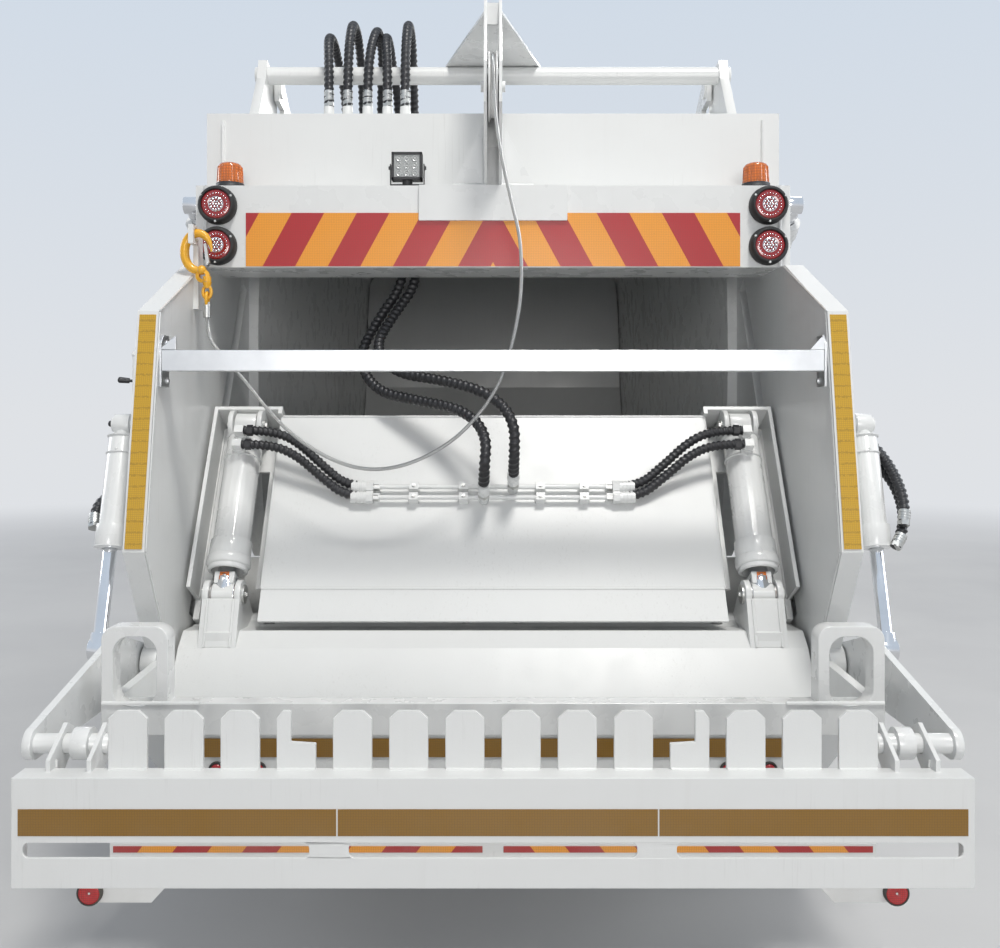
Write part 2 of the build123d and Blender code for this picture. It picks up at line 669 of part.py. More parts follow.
def rear_window(mode):
    """The cab's back window."""
    with BuildSketch(Plane.XZ.offset(-(cab_rear_y + 90))) as outline:
        with Locations((0, (sill_line_z + door_top_z) / 2)):
            RectangleRounded(1300, door_top_z - sill_line_z - 150, 50)
    extrude(outline.sketch, amount=100, mode=mode)


cab_outside = (cab_half - 60, cab_half + 20)
door_axis_x = cab_half + 14
door_tab_r = 12
door_axis_y = door_front_y - 24
door_hinge_levels = (door_bottom_z + 160, sill_line_z - 100)
arch_r = 600
with BuildPart() as cab_shell:
    cab_form(0)
    cab_form(cab_wall, mode=Mode.SUBTRACT)
    screen_opening(Mode.SUBTRACT)
    rear_window(Mode.SUBTRACT)
    for side in (-1, 1):
        block([side * x for x in cab_outside], (door_rear_y, door_front_y), (door_bottom_z, door_top_z),
              mode=Mode.SUBTRACT)
        # side window behind the door, for the crew seat
        side_plate([(cab_rear_y + 170, sill_line_z), (door_rear_y - 110, sill_line_z),
                    (door_rear_y - 110, door_top_z - 70), (cab_rear_y + 170, door_top_z - 70)],
                   min(side * (cab_half - 90), side * (cab_half + 10)),
                   max(side * (cab_half - 90), side * (cab_half + 10)), mode=Mode.SUBTRACT, corner=40)
        # tilt lug beside the chassis bracket
        lug_x = side * (rail_x + tilt_plate + gap)
        side_plate([(tilt_y - 34, tilt_z - 30), (tilt_y + 34, tilt_z - 30), (tilt_y + 60, cab_bottom_z + 4),
                    (tilt_y - 60, cab_bottom_z + 4)], min(lug_x, lug_x + side * 26), max(lug_x, lug_x + side * 26))
        cross_bar(tilt_y, tilt_z, tilt_pin_r + seat, min(lug_x, lug_x + side * 26) - 1,
                  max(lug_x, lug_x + side * 26) + 1, mode=Mode.SUBTRACT)
        # hinge pins of the door, between two tabs each
        for level in door_hinge_levels:
            with Locations((side * door_axis_x, door_axis_y, level)):
                Cylinder(door_pin_r, 150)
            for end in (-1, 1):
                z = level + end * 64
                with Locations((side * door_axis_x, door_axis_y, z)):
                    Cylinder(door_tab_r, 16)
                block((side * (cab_half + 3), side * (door_axis_x + 10)), (door_axis_y, door_front_y + 14),
                      (z - 8, z + 8))
                block((side * (cab_half - 1), side * (cab_half + 4)), (door_front_y + 1, door_front_y + 14),
                      (z - 8, z + 8))
        # fender skirt that carries the arch over the front wheel
        block((side * (cab_half - 46), side * (cab_half - 6)), (front_axle_y + arch_r + 20, cab_front_y - 200),
              (bumper_top + 20, cab_bottom_z + 20))
        block((side * (cab_half - 46), side * (cab_half - 6)), (front_axle_y - arch_r - 140, front_axle_y - arch_r),
              (bumper_top + 20, cab_bottom_z + 20))
        with BuildSketch(Plane.YZ.offset(side * (cab_half - 6))) as arch:
            with BuildLine():
                ring = ThreePointArc((front_axle_y - arch_r, bumper_top + 20),
                                     (front_axle_y, cab_bottom_z - 12), (front_axle_y + arch_r + 20, bumper_top + 20))
                Line(ring @ 1, (front_axle_y + arch_r + 20, cab_bottom_z + 20))
                Line((front_axle_y + arch_r + 20, cab_bottom_z + 20), (front_axle_y - arch_r, cab_bottom_z + 20))
                Line((front_axle_y - arch_r, cab_bottom_z + 20), ring @ 0)
            make_face()
        extrude(arch.sketch, amount=-side * 40)
    # air deflector lip over the screen and gutter
    block((-cab_half + 160, cab_half - 160), (roof_edge_y - 150, roof_edge_y - 40), (cab_roof_z - 30, cab_roof_z + 46))
keep(cab_shell.part, "cab_shell")

with BuildPart() as cab_glass:
    cab_form(glass_depth)
    cab_form(glass_depth + glass, mode=Mode.SUBTRACT)
    with BuildPart(mode=Mode.INTERSECT):
        screen_opening(Mode.ADD)
        rear_window(Mode.ADD)
        for side in (-1, 1):
            side_plate([(cab_rear_y + 170, sill_line_z), (door_rear_y - 110, sill_line_z),
                        (door_rear_y - 110, door_top_z - 70), (cab_rear_y + 170, door_top_z - 70)],
                       min(side * (cab_half - 90), side * (cab_half + 10)),
                       max(side * (cab_half - 90), side * (cab_half + 10)), corner=40)
keep(cab_glass.part, "cab_glass")

for side, hand in ((-1, "left"), (1, "right")):
    with BuildPart() as door:
        cab_form(0)
        cab_form(cab_wall, mode=Mode.SUBTRACT)
        block((side * (cab_half - cab_wall), side * (cab_half + 20)), (door_rear_y + door_gap, door_front_y - door_gap),
              (door_bottom_z + door_gap, door_top_z - door_gap), mode=Mode.INTERSECT)
        door_window(side, Mode.SUBTRACT)
        # handle bar and two hinge knuckles
        block((side * (cab_half - 4), side * (cab_half + 26)), (door_rear_y + 70, door_rear_y + 210),
              (sill_line_z - 130, sill_line_z - 100))
        for level in door_hinge_levels:
            with Locations((side * door_axis_x, door_axis_y, level)):
                Cylinder(16, 100)
            with Locations((side * door_axis_x, door_axis_y, level)):
                Cylinder(door_pin_r + seat, 100, mode=Mode.SUBTRACT)
    keep(door.part, f"door_{hand}")
    with BuildPart() as door_glass:
        cab_form(glass_depth)
        cab_form(glass_depth + glass, mode=Mode.SUBTRACT)
        door_window(side, Mode.INTERSECT)
    keep(door_glass.part, f"door_glass_{hand}")

# Tailgate shell: cheeks, hood, hopper pan and sides, guide slots, hinge ears and roof tube
hopper_r = 515
hopper_side = 30
pan_slope = 49
tail_floor_z = 1086
cheek_rear = [(-2760, bar_bottom_z), (-3250, 2080), (-3390, 1290), (-3160, 900)]
roof_tube_y, roof_tube_z, roof_tube_r = -2180, 3235, 38
slot_width = 96
slot_depth = 36
slot_top_s, slot_bottom_s = 1575, 20


def hopper_region(grow):
    """The space inside the hopper pan, grown outwards, on a plane at the left cheek's inner face."""
    sill_reach = hypot(sill_y - blade_hinge_y, sill_z - blade_hinge_z)
    lean = degrees(asin(hopper_r / sill_reach)) - degrees(atan2(blade_hinge_z - sill_z, blade_hinge_y - sill_y))
    rear_angle = radians(180 + 90 - lean)
    front_angle = radians(pan_slope - 90)
    rear_touch = (blade_hinge_y + hopper_r * cos(rear_angle), blade_hinge_z + hopper_r * sin(rear_angle))
    front_touch = (blade_hinge_y + hopper_r * cos(front_angle), blade_hinge_z + hopper_r * sin(front_angle))
    bottom = (blade_hinge_y, blade_hinge_z - hopper_r)
    with BuildSketch(Plane.YZ.offset(-cheek_inner)) as region:
        with BuildLine():
            Line((sill_y, sill_z), rear_touch)
            ThreePointArc(rear_touch, bottom, front_touch)
            Polyline(front_touch, (tailgate_front_y, tail_floor_z), (tailgate_front_y, tail_floor_z + 300),
                     (sill_y, tail_floor_z + 300), (sill_y, sill_z))
        make_face()
        if grow:
            offset(amount=grow, kind=Kind.INTERSECTION, mode=Mode.REPLACE)
    return region.sketch


def slide_bar(s_range, t_range, x_from, x_to, mode=Mode.ADD):
    """A bar along the packer slide between two distances up it and two out from it."""
    side_plate([on_slide(s_range[0], t_range[0]), on_slide(s_range[1], t_range[0]),
                on_slide(s_range[1], t_range[1]), on_slide(s_range[0], t_range[1])],
               min(x_from, x_to), max(x_from, x_to), mode=mode)


with BuildPart() as tailgate_shell:
    # hopper pan, clipped along the chord from sill to body floor
    extrude(hopper_region(hopper_plate), amount=2 * cheek_inner)
    extrude(hopper_region(0), amount=2 * cheek_inner, mode=Mode.SUBTRACT)
    side_plate([(sill_y, sill_z), (tailgate_front_y, tail_floor_z), (tailgate_front_y, 300), (sill_y, 300)],
               -cheek_inner, cheek_inner, mode=Mode.INTERSECT)
    for side in (-1, 1):
        inner, outer = side * cheek_inner, side * cheek_outer
        with BuildPart(mode=Mode.PRIVATE) as lower_side:
            extrude(hopper_region(hopper_plate), amount=hopper_side)
            side_plate([(sill_y, sill_z), cheek_rear[-1], (-3000, 1010), (tailgate_front_y, 1010),
                        (tailgate_front_y, 300), (sill_y, 300)], -cheek_inner, -cheek_inner + hopper_side,
                       mode=Mode.INTERSECT)
        shift = 2 * cheek_inner if side > 0 else -hopper_side
        add(lower_side.part.moved(Location((shift, 0, 0))))
        side_plate([(tailgate_front_y, cheek_top_z), (hood_rear_y, hood_top_z), (hood_rear_y, bar_bottom_z)]
                   + cheek_rear + [(tailgate_front_y, cheek_rear[-1][1])], min(inner, outer), max(inner, outer))
        slide_bar((slot_bottom_s, slot_top_s), (guide_shoe_t - slot_width / 2, guide_shoe_t + slot_width / 2),
                  inner - side, side * (cheek_inner + slot_depth), mode=Mode.SUBTRACT)
        # stiffening ribs on the cheek's outside
        for y_low, y_high in ((-2300, -2150), (-2900, -2640)):
            side_plate([(y_low - 34, 1000), (y_low + 34, 1000), (y_high + 34, bar_bottom_z - 40),
                        (y_high - 34, bar_bottom_z - 40)], min(outer - side, outer + side * 14),
                       max(outer - side, outer + side * 14))
        # hinge ear
        near, far = side * (hinge_ear_x - hinge_ear_width / 2), side * (hinge_ear_x + hinge_ear_width / 2)
        side_plate([(hinge_y + 44, hinge_z), (hinge_y + 44, cheek_top_z - 8), (hood_rear_y + 60, hood_top_z + 10),
                    (roof_tube_y - 60, roof_tube_z - 30), (roof_tube_y - 30, roof_tube_z + 60),
                    (hinge_y, hinge_z + 50)], min(near, far), max(near, far))
        cross_bar(hinge_y, hinge_z, hinge_boss_r, min(near, far), max(near, far))
        cross_bar(hinge_y, hinge_z, hinge_pin_half + seat, min(near, far) - 1, max(near, far) + 1, mode=Mode.SUBTRACT)
        # lower pivot boss of the bin lifter's arm and the lifter cylinder's anchor
        for y, z, radius in ((lift_pivot_y, lift_pivot_z, 62), (lifter_anchor_y, lifter_anchor_z, 46),
                             (lift_eye_y, lift_eye_z, 52)):
            start = cheek_inner + hopper_side - 5
            end = arm_x - 6 if z == lift_pivot_z else lifter_cylinder_x - lifter_barrel_r - 14
            cross_bar(y, z, radius, side * start, side * end)
        anchor_pin(lifter_anchor_y, lifter_anchor_z, lifter_pin_r, side, cheek_outer, lifter_cylinder_x + lifter_eye_half)
        anchor_pin(lift_pivot_y, lift_pivot_z, arm_pivot_pin_r, side, cheek_inner + 10, arm_x + arm_plate)
    # eye plate that the hook hangs on
    side_plate([(-2800, 2130), (-2860, 2130), (-2860, 2366), (-2925, 2366), (-2925, 2436), (-2820, 2436),
                (-2800, 2410)], -cheek_inner - 1, -cheek_inner + 18)
    cross_bar(-2885, 2402, 27, -cheek_inner - 5, -cheek_inner + 30, mode=Mode.SUBTRACT)
    # hood roof and rear panel
    side_plate([(tailgate_front_y, cheek_top_z), (hood_rear_y, hood_top_z), (hood_rear_y, hood_top_z - bar_plate),
                (tailgate_front_y, cheek_top_z - bar_plate)], -cheek_inner - 1, cheek_inner + 1)
    block((-cheek_inner - 1, cheek_inner + 1), (hood_rear_y, hood_rear_y + bar_plate), (bar_bottom_z, hood_top_z - 4))
    cross_bar(roof_tube_y, roof_tube_z, roof_tube_r, -hinge_ear_x - 35, hinge_ear_x + 35)
    # sockets of the roof hoses, and the block under the hood that the feed hoses leave
    for x in loop_places:
        with Locations((x, loop_rear_y, loop_rear_z - 20)):
            Cylinder(loop_r + 5, 40)
    block((feed_x - 60, feed_x + 60), (feed_y - 39, feed_y + 30), (feed_z, feed_z + 60))
keep(tailgate_shell.part, "tailgate_shell")

# Light bar across the tailgate's shoulder, with its doubler plate in the middle
doubler_half, doubler_bottom_z, doubler_plate = 289, 2491, 14
with BuildPart() as light_bar:
    block((-bar_half, bar_half), (bar_rear_y, hood_rear_y), (bar_bottom_z, bar_top_z))
    block((-bar_half + bar_plate, bar_half - bar_plate), (bar_rear_y + bar_plate, hood_rear_y - bar_plate),
          (bar_bottom_z + bar_plate, bar_top_z - bar_plate), mode=Mode.SUBTRACT)
    block((-doubler_half, doubler_half), (bar_rear_y - doubler_plate, bar_rear_y), (doubler_bottom_z, bar_top_z))
keep(light_bar.part, "light_bar")

# Hazard board, notched round the doubler
board_half, board_top_z, board_bottom_z, board_plate = 963, 2522, 2314, 4
with BuildPart() as hazard_board:
    block((-board_half, board_half), (bar_rear_y - board_plate, bar_rear_y), (board_bottom_z, board_top_z))
    block((-doubler_half, doubler_half), (bar_rear_y - board_plate - 1, bar_rear_y + 1),
          (doubler_bottom_z, board_top_z + 1), mode=Mode.SUBTRACT)
keep(hazard_board.part, "hazard_board")

# Round tail lamps: rubber rings, then lenses with their bright centres
tail_lamp_x, tail_lamp_levels = 1071, (2550, 2392)
tail_lamp_r, tail_lens_r, tail_ring_depth, tail_lens_depth = 70, 58, 40, 46
lamp_places = [(side * tail_lamp_x, bar_rear_y, z) for side in (-1, 1) for z in tail_lamp_levels]
with BuildPart() as tail_lamp_rings:
    for place in lamp_places:
        with BuildSketch(Plane(origin=place, x_dir=(1, 0, 0), z_dir=(0, -1, 0))) as ring:
            Circle(tail_lamp_r)
            Circle(tail_lens_r, mode=Mode.SUBTRACT)
        extrude(ring.sketch, amount=tail_ring_depth)
keep(tail_lamp_rings.part, "tail_lamp_rings")
with BuildPart() as tail_lamp_lenses:
    for place in lamp_places:
        with BuildSketch(Plane(origin=place, x_dir=(1, 0, 0), z_dir=(0, -1, 0))) as lens:
            Circle(tail_lens_r)
        extrude(lens.sketch, amount=tail_ring_depth - 10)
        with BuildSketch(Plane(origin=place, x_dir=(1, 0, 0), z_dir=(0, -1, 0))) as centre:
            Circle(tail_lens_r / 2)
        extrude(centre.sketch, amount=tail_lens_depth)
keep(tail_lamp_lenses.part, "tail_lamp_lenses")

# Amber beacons on their bases, and the swivelling work lamp on the bar
beacon_x, beacon_y, beacon_r, beacon_height, beacon_base = 1046, -2620, 52, 84, 22
with BuildPart() as beacons:
    for side in (-1, 1):
        with Locations((side * beacon_x, beacon_y, bar_top_z + beacon_base / 2)):
            Cylinder(beacon_r + 5, beacon_base)
        with Locations((side * beacon_x, beacon_y, bar_top_z + beacon_base + beacon_height / 2)):
            Cylinder(beacon_r, beacon_height)
    fillet(beacons.edges().filter_by(GeomType.CIRCLE).group_by(Axis.Z)[-1], 14)
keep(beacons.part, "beacons")
work_lamp_x, work_lamp_y, work_lamp_z = -338, -2650, 2710
with BuildPart() as work_lamp:
    block((work_lamp_x - 58, work_lamp_x + 58), (work_lamp_y - 26, work_lamp_y + 26),
          (work_lamp_z - 50, work_lamp_z + 54))
    fillet(work_lamp.edges().filter_by(Axis.Y), 12)
    block((work_lamp_x - 50, work_lamp_x + 50), (work_lamp_y - 27, work_lamp_y - 22),
          (work_lamp_z - 42, work_lamp_z + 46), mode=Mode.SUBTRACT)
    with Locations((work_lamp_x, work_lamp_y, (bar_top_z + work_lamp_z - 50) / 2)):
        Cylinder(20, work_lamp_z - 50 - bar_top_z)
keep(work_lamp.part, "work_lamp")

# Winch mast: two cheek plates on the bar, gussets at the foot, stay plate back to the roof tube
mast_gap, mast_plate = 44, 12
sheave_y, sheave_z, sheave_r, sheave_width = -2850, 2965, 127, 34
groove_r = sheave_r - 14
mast_top_z = 3290
mast_outline = [(-2650, bar_top_z), (-2700, bar_top_z), (-2714, bar_top_z + 10), (-2944, 2880), (-2946, 3030),
                (-2850, mast_top_z), (-2796, mast_top_z), (-2730, 3060), (-2650, 2800)]
with BuildPart() as winch_mast:
    for side in (-1, 1):
        near, far = side * mast_gap / 2, side * (mast_gap / 2 + mast_plate)
        side_plate(mast_outline, min(near, far), max(near, far))
        # foot gusset, seen face on
        with BuildSketch(Plane.XZ.offset(2690)) as gusset:
            Polygon((far, bar_top_z), (side * 162, bar_top_z), (far, bar_top_z + 250), align=None)
        extrude(gusset.sketch, amount=-10)
    side_plate([(-2652, bar_top_z), (-2652, 2790), (-2728, 3056), (-2734, 3046), (-2660, 2790), (-2660, bar_top_z)],
               -mast_gap / 2 - 1, mast_gap / 2 + 1)
    side_plate([(-2800, 3282), (-2846, 3282), (-2846, 3200), (-2836, 3200), (-2836, 3270), (-2800, 3270)],
               -mast_gap / 2 - 1, mast_gap / 2 + 1)
    cross_bar(sheave_y, sheave_z, 20, -mast_gap / 2 - mast_plate - 12, mast_gap / 2 + mast_plate + 12)
    # fairlead that the winch rope leaves
    block((-mast_gap / 2 - 1, mast_gap / 2 + 1), (-2775, -2735), (3075, 3108))
    plan_plate([(-210, roof_tube_y + 10), (210, roof_tube_y + 10), (mast_gap / 2 + 2, -2800),
                (mast_gap / 2 + 2, -2830), (-mast_gap / 2 - 2, -2830), (-mast_gap / 2 - 2, -2800)],
               roof_tube_z + roof_tube_r, roof_tube_z + roof_tube_r + 12)
    with BuildSketch(Plane(origin=(0, sheave_y, sheave_z), x_dir=(1, 0, 0), z_dir=(0, -1, 0))) as section:
        half = sheave_width / 2
        Polygon((-half, 21), (-half, sheave_r), (-half + 5, sheave_r), (-7, groove_r), (7, groove_r),
                (half - 5, sheave_r), (half, sheave_r), (half, 21), align=None)
    revolve(section.sketch, axis=Axis((0, sheave_y, sheave_z), (1, 0, 0)))
keep(winch_mast.part, "winch_mast")

# Grab bar between the cheeks
grab_y, grab_z, grab_r = -3225, 1914, 37
with BuildPart() as grab_bar:
    cross_bar(grab_y, grab_z, grab_r, -cheek_inner + 12, cheek_inner - 12)
    for side in (-1, 1):
        block((side * (cheek_inner - 12), side * cheek_inner), (grab_y - 34, grab_y + 50),
              (grab_z - 90, grab_z + 90))
keep(grab_bar.part, "grab_bar")

# Hopper sill with the trunnion receivers, and the lower rear beam under it
receiver_inner_x, receiver_top_z, receiver_plate = 954, 1109, 14
sill_depth = 66
with BuildPart() as hopper_sill:
    block((-sill_half, sill_half), (sill_y - sill_depth, sill_y), (sill_z - sill_drop, sill_z))
    block((-sill_half + 12, sill_half - 12), (sill_y - sill_depth + 12, sill_y - 12),
          (sill_z - sill_drop - 1, sill_z - 12), mode=Mode.SUBTRACT)
    for side in (-1, 1):
        inner, outer = side * receiver_inner_x, side * sill_half
        block((inner, outer), (sill_y - sill_depth, sill_y), (sill_z, receiver_top_z))
        with BuildSketch(Plane.XZ.offset(-(sill_y + 20))) as recess:
            with Locations(((inner + outer) / 2, (sill_z + receiver_top_z) / 2 - 20)):
                RectangleRounded(abs(outer - inner) - 2 * receiver_plate - 40, receiver_top_z - sill_z - 20, 50)
        extrude(recess.sketch, amount=120, mode=Mode.SUBTRACT)
    fillet(hopper_sill.edges().filter_by(Axis.Y).group_by(Axis.Z)[-1], 40)
keep(hopper_sill.part, "hopper_sill")

# Packer carrier: hollow panel with skirt and hinge lugs, side channels round the sweep cylinders
panel_half = carrier_half - channel_width
lug_r, lug_plate = 54, 22
lug_places = [(85, 105), (panel_half - lug_plate, panel_half), (carrier_half - lug_plate, carrier_half)]
shoe_places = (170, 690)
shoe_length = 130
anchor_ear_gap, anchor_ear_plate = 47, 18
anchor_r = 56
eye_clear = 7


def swung_eye(angle):
    """(s, t) of the sweep rod's eye once the blade has turned by an angle."""
    turn, up = radians(angle), radians(slide_angle)
    y = eye_offset_y * cos(turn) - eye_offset_z * sin(turn)
    z = eye_offset_y * sin(turn) + eye_offset_z * cos(turn)
    return (y * cos(up) + z * sin(up), z * cos(up) - y * sin(up))


# The swung barrel leaves the channel's back at this height; the slot ends a little above it
full_eye_s, full_eye_t = swung_eye(blade_swing)
barrel_lean = (sweep_anchor_t - full_eye_t) / (sweep_anchor_s - full_eye_s)
swing_slot_top_s = sweep_anchor_s - (
    sweep_anchor_t - carrier_back_t - channel_plate - sweep_barrel_r - 2 * gap) / barrel_lean
swing_slot_half = sweep_barrel_r + head_collar + gap
with BuildPart() as carrier_panel:
    slide_bar((carrier_bottom_s, carrier_top_s), (carrier_back_t, carrier_face_t), -panel_half, panel_half)
    slide_bar((carrier_bottom_s + channel_plate, carrier_top_s - channel_plate),
              (carrier_back_t + channel_plate, carrier_face_t - channel_plate),
              -panel_half + channel_plate, panel_half - channel_plate, mode=Mode.SUBTRACT)
    slide_bar((skirt_bottom_s, carrier_bottom_s + 2), (carrier_face_t - channel_plate, carrier_face_t),
              -panel_half, panel_half)
    slide_bar((carrier_bottom_s + 40, carrier_top_s), (carrier_back_t, carrier_back_t + channel_plate),
              -carrier_half, carrier_half)
    for side in (-1, 1):
        # outer web, standing out a little past the panel's face, and the head plate of the channel
        slide_bar((carrier_bottom_s, carrier_top_s + 30), (carrier_back_t - 5, carrier_face_t + 25),
                  side * (carrier_half - channel_plate), side * carrier_half)
        slide_bar((carrier_top_s + 30 - channel_plate, carrier_top_s + 30), (carrier_back_t - 5, carrier_face_t + 25),
                  side * (panel_half - 4), side * carrier_half)
        slide_bar((carrier_top_s - 2, carrier_top_s + 30), (carrier_back_t - 5, carrier_face_t + 25),
                  side * (panel_half - 4), side * (panel_half + 12))
        # corner gusset on the panel's top edge
        with BuildSketch(Plane(origin=(0, *on_slide(0, carrier_back_t + 30)), x_dir=(1, 0, 0),
                               z_dir=(0, -sin(radians(slide_angle)), cos(radians(slide_angle))))) as gusset:
            Polygon((side * (panel_half + 2), carrier_top_s - 2), (side * (panel_half - 190), carrier_top_s - 2),
                    (side * (panel_half + 2), carrier_top_s + 28), align=None)
        extrude(gusset.sketch, amount=12)
        # lugs that carry the blade's hinge
        for near, far in lug_places:
            slide_bar((0, carrier_bottom_s + 60), (-30, carrier_back_t + 10), side * near, side * far)
            cross_bar(blade_hinge_y, blade_hinge_z, lug_r, min(side * near, side * far), max(side * near, side * far))
        # guide shoes that run in the cheeks' slots
        for place in shoe_places:
            slide_bar((place - shoe_length / 2, place + shoe_length / 2),
                      (guide_shoe_t - slot_width / 2 + seat, guide_shoe_t + slot_width / 2 - seat),
                      side * (carrier_half - 2), side * (cheek_inner + slot_depth - gap))
            slide_bar((place - shoe_length / 2, place + shoe_length / 2), (guide_shoe_t - 20, carrier_back_t + 20),
                      side * (carrier_half - channel_plate), side * carrier_half)
        # ears that hold the sweep cylinder's barrel
        for ear in (-1, 1):
            near = side * cylinder_x + ear * anchor_ear_gap
            far = near + ear * anchor_ear_plate
            slide_bar((sweep_anchor_s - 44, sweep_anchor_s + 50), (carrier_back_t + 4, sweep_anchor_t), near, far)
            cross_bar(*on_slide(sweep_anchor_s, sweep_anchor_t), anchor_r, min(near, far), max(near, far))
        cross_bar(*on_slide(sweep_anchor_s, sweep_anchor_t), sweep_pin_r, side * cylinder_x - anchor_ear_gap - 1,
                  side * cylinder_x + anchor_ear_gap + 1)
        # slot in the channel's back that the barrel and its rod swing through
        slide_bar((carrier_bottom_s + 39, swing_slot_top_s), (carrier_back_t - 6, carrier_back_t + channel_plate + 1),
                  side * (cylinder_x - swing_slot_half), side * (cylinder_x + swing_slot_half), mode=Mode.SUBTRACT)
    cross_bar(blade_hinge_y, blade_hinge_z, blade_pin_r, -carrier_half, carrier_half)
keep(carrier_panel.part, "carrier_panel")

# Sweep blade, drawn along its own length (u) and thickness (v) at rest
blade_u = radians(180 + blade_rest_angle)
blade_section = [(-34, 40), (60, 72), (150, 142), (228, 136), (420, 66), (blade_length, 12), (blade_length, -8),
                 (430, -34), (120, -60), (-10, -56)]
blade_half = carrier_half
eye_y, eye_z = blade_hinge_y + eye_offset_y, blade_hinge_z + eye_offset_z
blade_ear_gap, blade_ear_plate, blade_ear_r = 47, 20, 52
rest_clear = 9
# the rod's direction from its eye at full swing, seen from the blade at rest, and the notch it needs
full_rod_angle = radians(slide_angle - blade_swing) + atan2(
    sweep_anchor_t - full_eye_t, sweep_anchor_s - full_eye_s)
rod_line = (cos(full_rod_angle), sin(full_rod_angle))
notch_half, notch_length = sweep_rod_r + eye_clear, 300


def on_blade(u, v):
    """(y, z) of a point u along the blade and v out of its back, at rest."""
    return (blade_hinge_y + u * cos(blade_u) + v * sin(blade_u), blade_hinge_z + u * sin(blade_u) - v * cos(blade_u))


with BuildPart() as sweep_blade:
    side_plate([on_blade(u, v) for u, v in blade_section], -blade_half, blade_half)
    cross_bar(blade_hinge_y, blade_hinge_z, lug_r + 4, -blade_half, blade_half)
    # hollow between the end plates, so that the blade is a box of plate
    side_plate([on_blade(70, 50), on_blade(150, 116), on_blade(222, 112), on_blade(400, 52), on_blade(420, -14),
                on_blade(120, -38), on_blade(70, -34)], -blade_half + 16, blade_half - 16, mode=Mode.SUBTRACT)
    for side in (-1, 1):
        # box arms up to the rod eyes
        for ear in (-1, 1):
            near = side * cylinder_x + ear * blade_ear_gap
            far = near + ear * blade_ear_plate
            side_plate([on_blade(0, -50), on_blade(228, 100), on_blade(228, 136), (eye_y - 36, eye_z + 36),
                        (eye_y + 36, eye_z + 36), (blade_hinge_y - 10, blade_hinge_z + 56)],
                       min(near, far), max(near, far))
            cross_bar(eye_y, eye_z, blade_ear_r, min(near, far), max(near, far))
        side_plate([on_blade(150, 120), on_blade(222, 134), on_blade(190, 172), on_blade(166, 168)],
                   side * cylinder_x - blade_ear_gap - 1, side * cylinder_x + blade_ear_gap + 1)
        # notch between the ears for the rod, as it lies against the hub at full swing
        side_plate([(eye_y + d * rod_line[0] - w * rod_line[1], eye_z + d * rod_line[1] + w * rod_line[0])
                    for d, w in ((0, -notch_half), (notch_length, -notch_half), (notch_length, notch_half),
                                 (0, notch_half))],
                   side * cylinder_x - blade_ear_gap, side * cylinder_x + blade_ear_gap, mode=Mode.SUBTRACT)
        for near, far in lug_places:
            slot = (side * (near - rest_clear), side * (far + rest_clear))
            cross_bar(blade_hinge_y, blade_hinge_z, lug_r + 26, min(slot), max(slot), mode=Mode.SUBTRACT)
            slide_bar((0, carrier_bottom_s + 70), (-40, carrier_back_t + 20), *slot, mode=Mode.SUBTRACT)
    cross_bar(blade_hinge_y, blade_hinge_z, blade_pin_r + seat, -blade_half - 1, blade_half + 1, mode=Mode.SUBTRACT)
keep(sweep_blade.part, "sweep_blade")


# Cylinders. Each barrel and rod is drawn at rest between its two pins, as a pair left and right
def point_from(start, end, distance):
    """(y, z) at a distance from start towards end."""
    length = hypot(end[0] - start[0], end[1] - start[1])
    return (start[0] + (end[0] - start[0]) * distance / length, start[1] + (end[1] - start[1]) * distance / length)


def barrels(start, end, x_middle, radius, bore, from_start, to_start, eye_r, eye_half, pin_r):
    """A barrel on each side with its bore, base cap, head and the eye on its anchor pin."""
    for side in (-1, 1):
        x = side * x_middle
        base, head = (x, *point_from(start, end, from_start)), (x, *point_from(start, end, to_start))
        rod_between(base, head, radius)
        rod_between((x, *point_from(start, end, to_start - 70)), head, radius + head_collar)
        rod_between((x, *point_from(start, end, 10)), base, eye_r * 0.7)
        rod_between((x, *point_from(start, end, from_start + 20)), head, bore, mode=Mode.SUBTRACT)
        cross_bar(*start, eye_r, x - eye_half, x + eye_half)
        cross_bar(*start, pin_r + seat, x - eye_half - 1, x + eye_half + 1, mode=Mode.SUBTRACT)


def rods(start, end, x_middle, radius, inner_end, eye_r, eye_half):
    """A rod on each side, from inside its barrel to the eye on its moving pin."""
    length = hypot(end[0] - start[0], end[1] - start[1])
    for side in (-1, 1):
        x = side * x_middle
        rod_between((x, *point_from(start, end, inner_end)), (x, *point_from(start, end, length - 10)), radius)
        rod_between((x, *point_from(start, end, length - eye_r - 18)), (x, *point_from(start, end, length - 10)),
                    radius + 8)
        cross_bar(*end, eye_r, x - eye_half, x + eye_half)


port_levels = (612, 672)
port_t, port_half = 326, 17
sweep_anchor = on_slide(sweep_anchor_s, sweep_anchor_t)
sweep_eye = (eye_y, eye_z)
eye_half = blade_ear_gap - eye_clear
with BuildPart() as sweep_barrels:
    barrels(sweep_anchor, sweep_eye, cylinder_x, sweep_barrel_r, sweep_rod_r + seat, 66, 570, 44, eye_half,
            sweep_pin_r)
    # elbows that the hoses join
    for side in (-1, 1):
        for port in port_levels:
            slide_bar((port - 15, port + 15), (sweep_anchor_t + sweep_barrel_r - 6, port_t + 17),
                      side * (cylinder_x - port_half), side * (cylinder_x + port_half))
keep(sweep_barrels.part, "sweep_barrels")
with BuildPart() as sweep_rods:
    rods(sweep_anchor, sweep_eye, cylinder_x, sweep_rod_r, 110, 40, eye_half)
keep(sweep_rods.part, "sweep_rods")

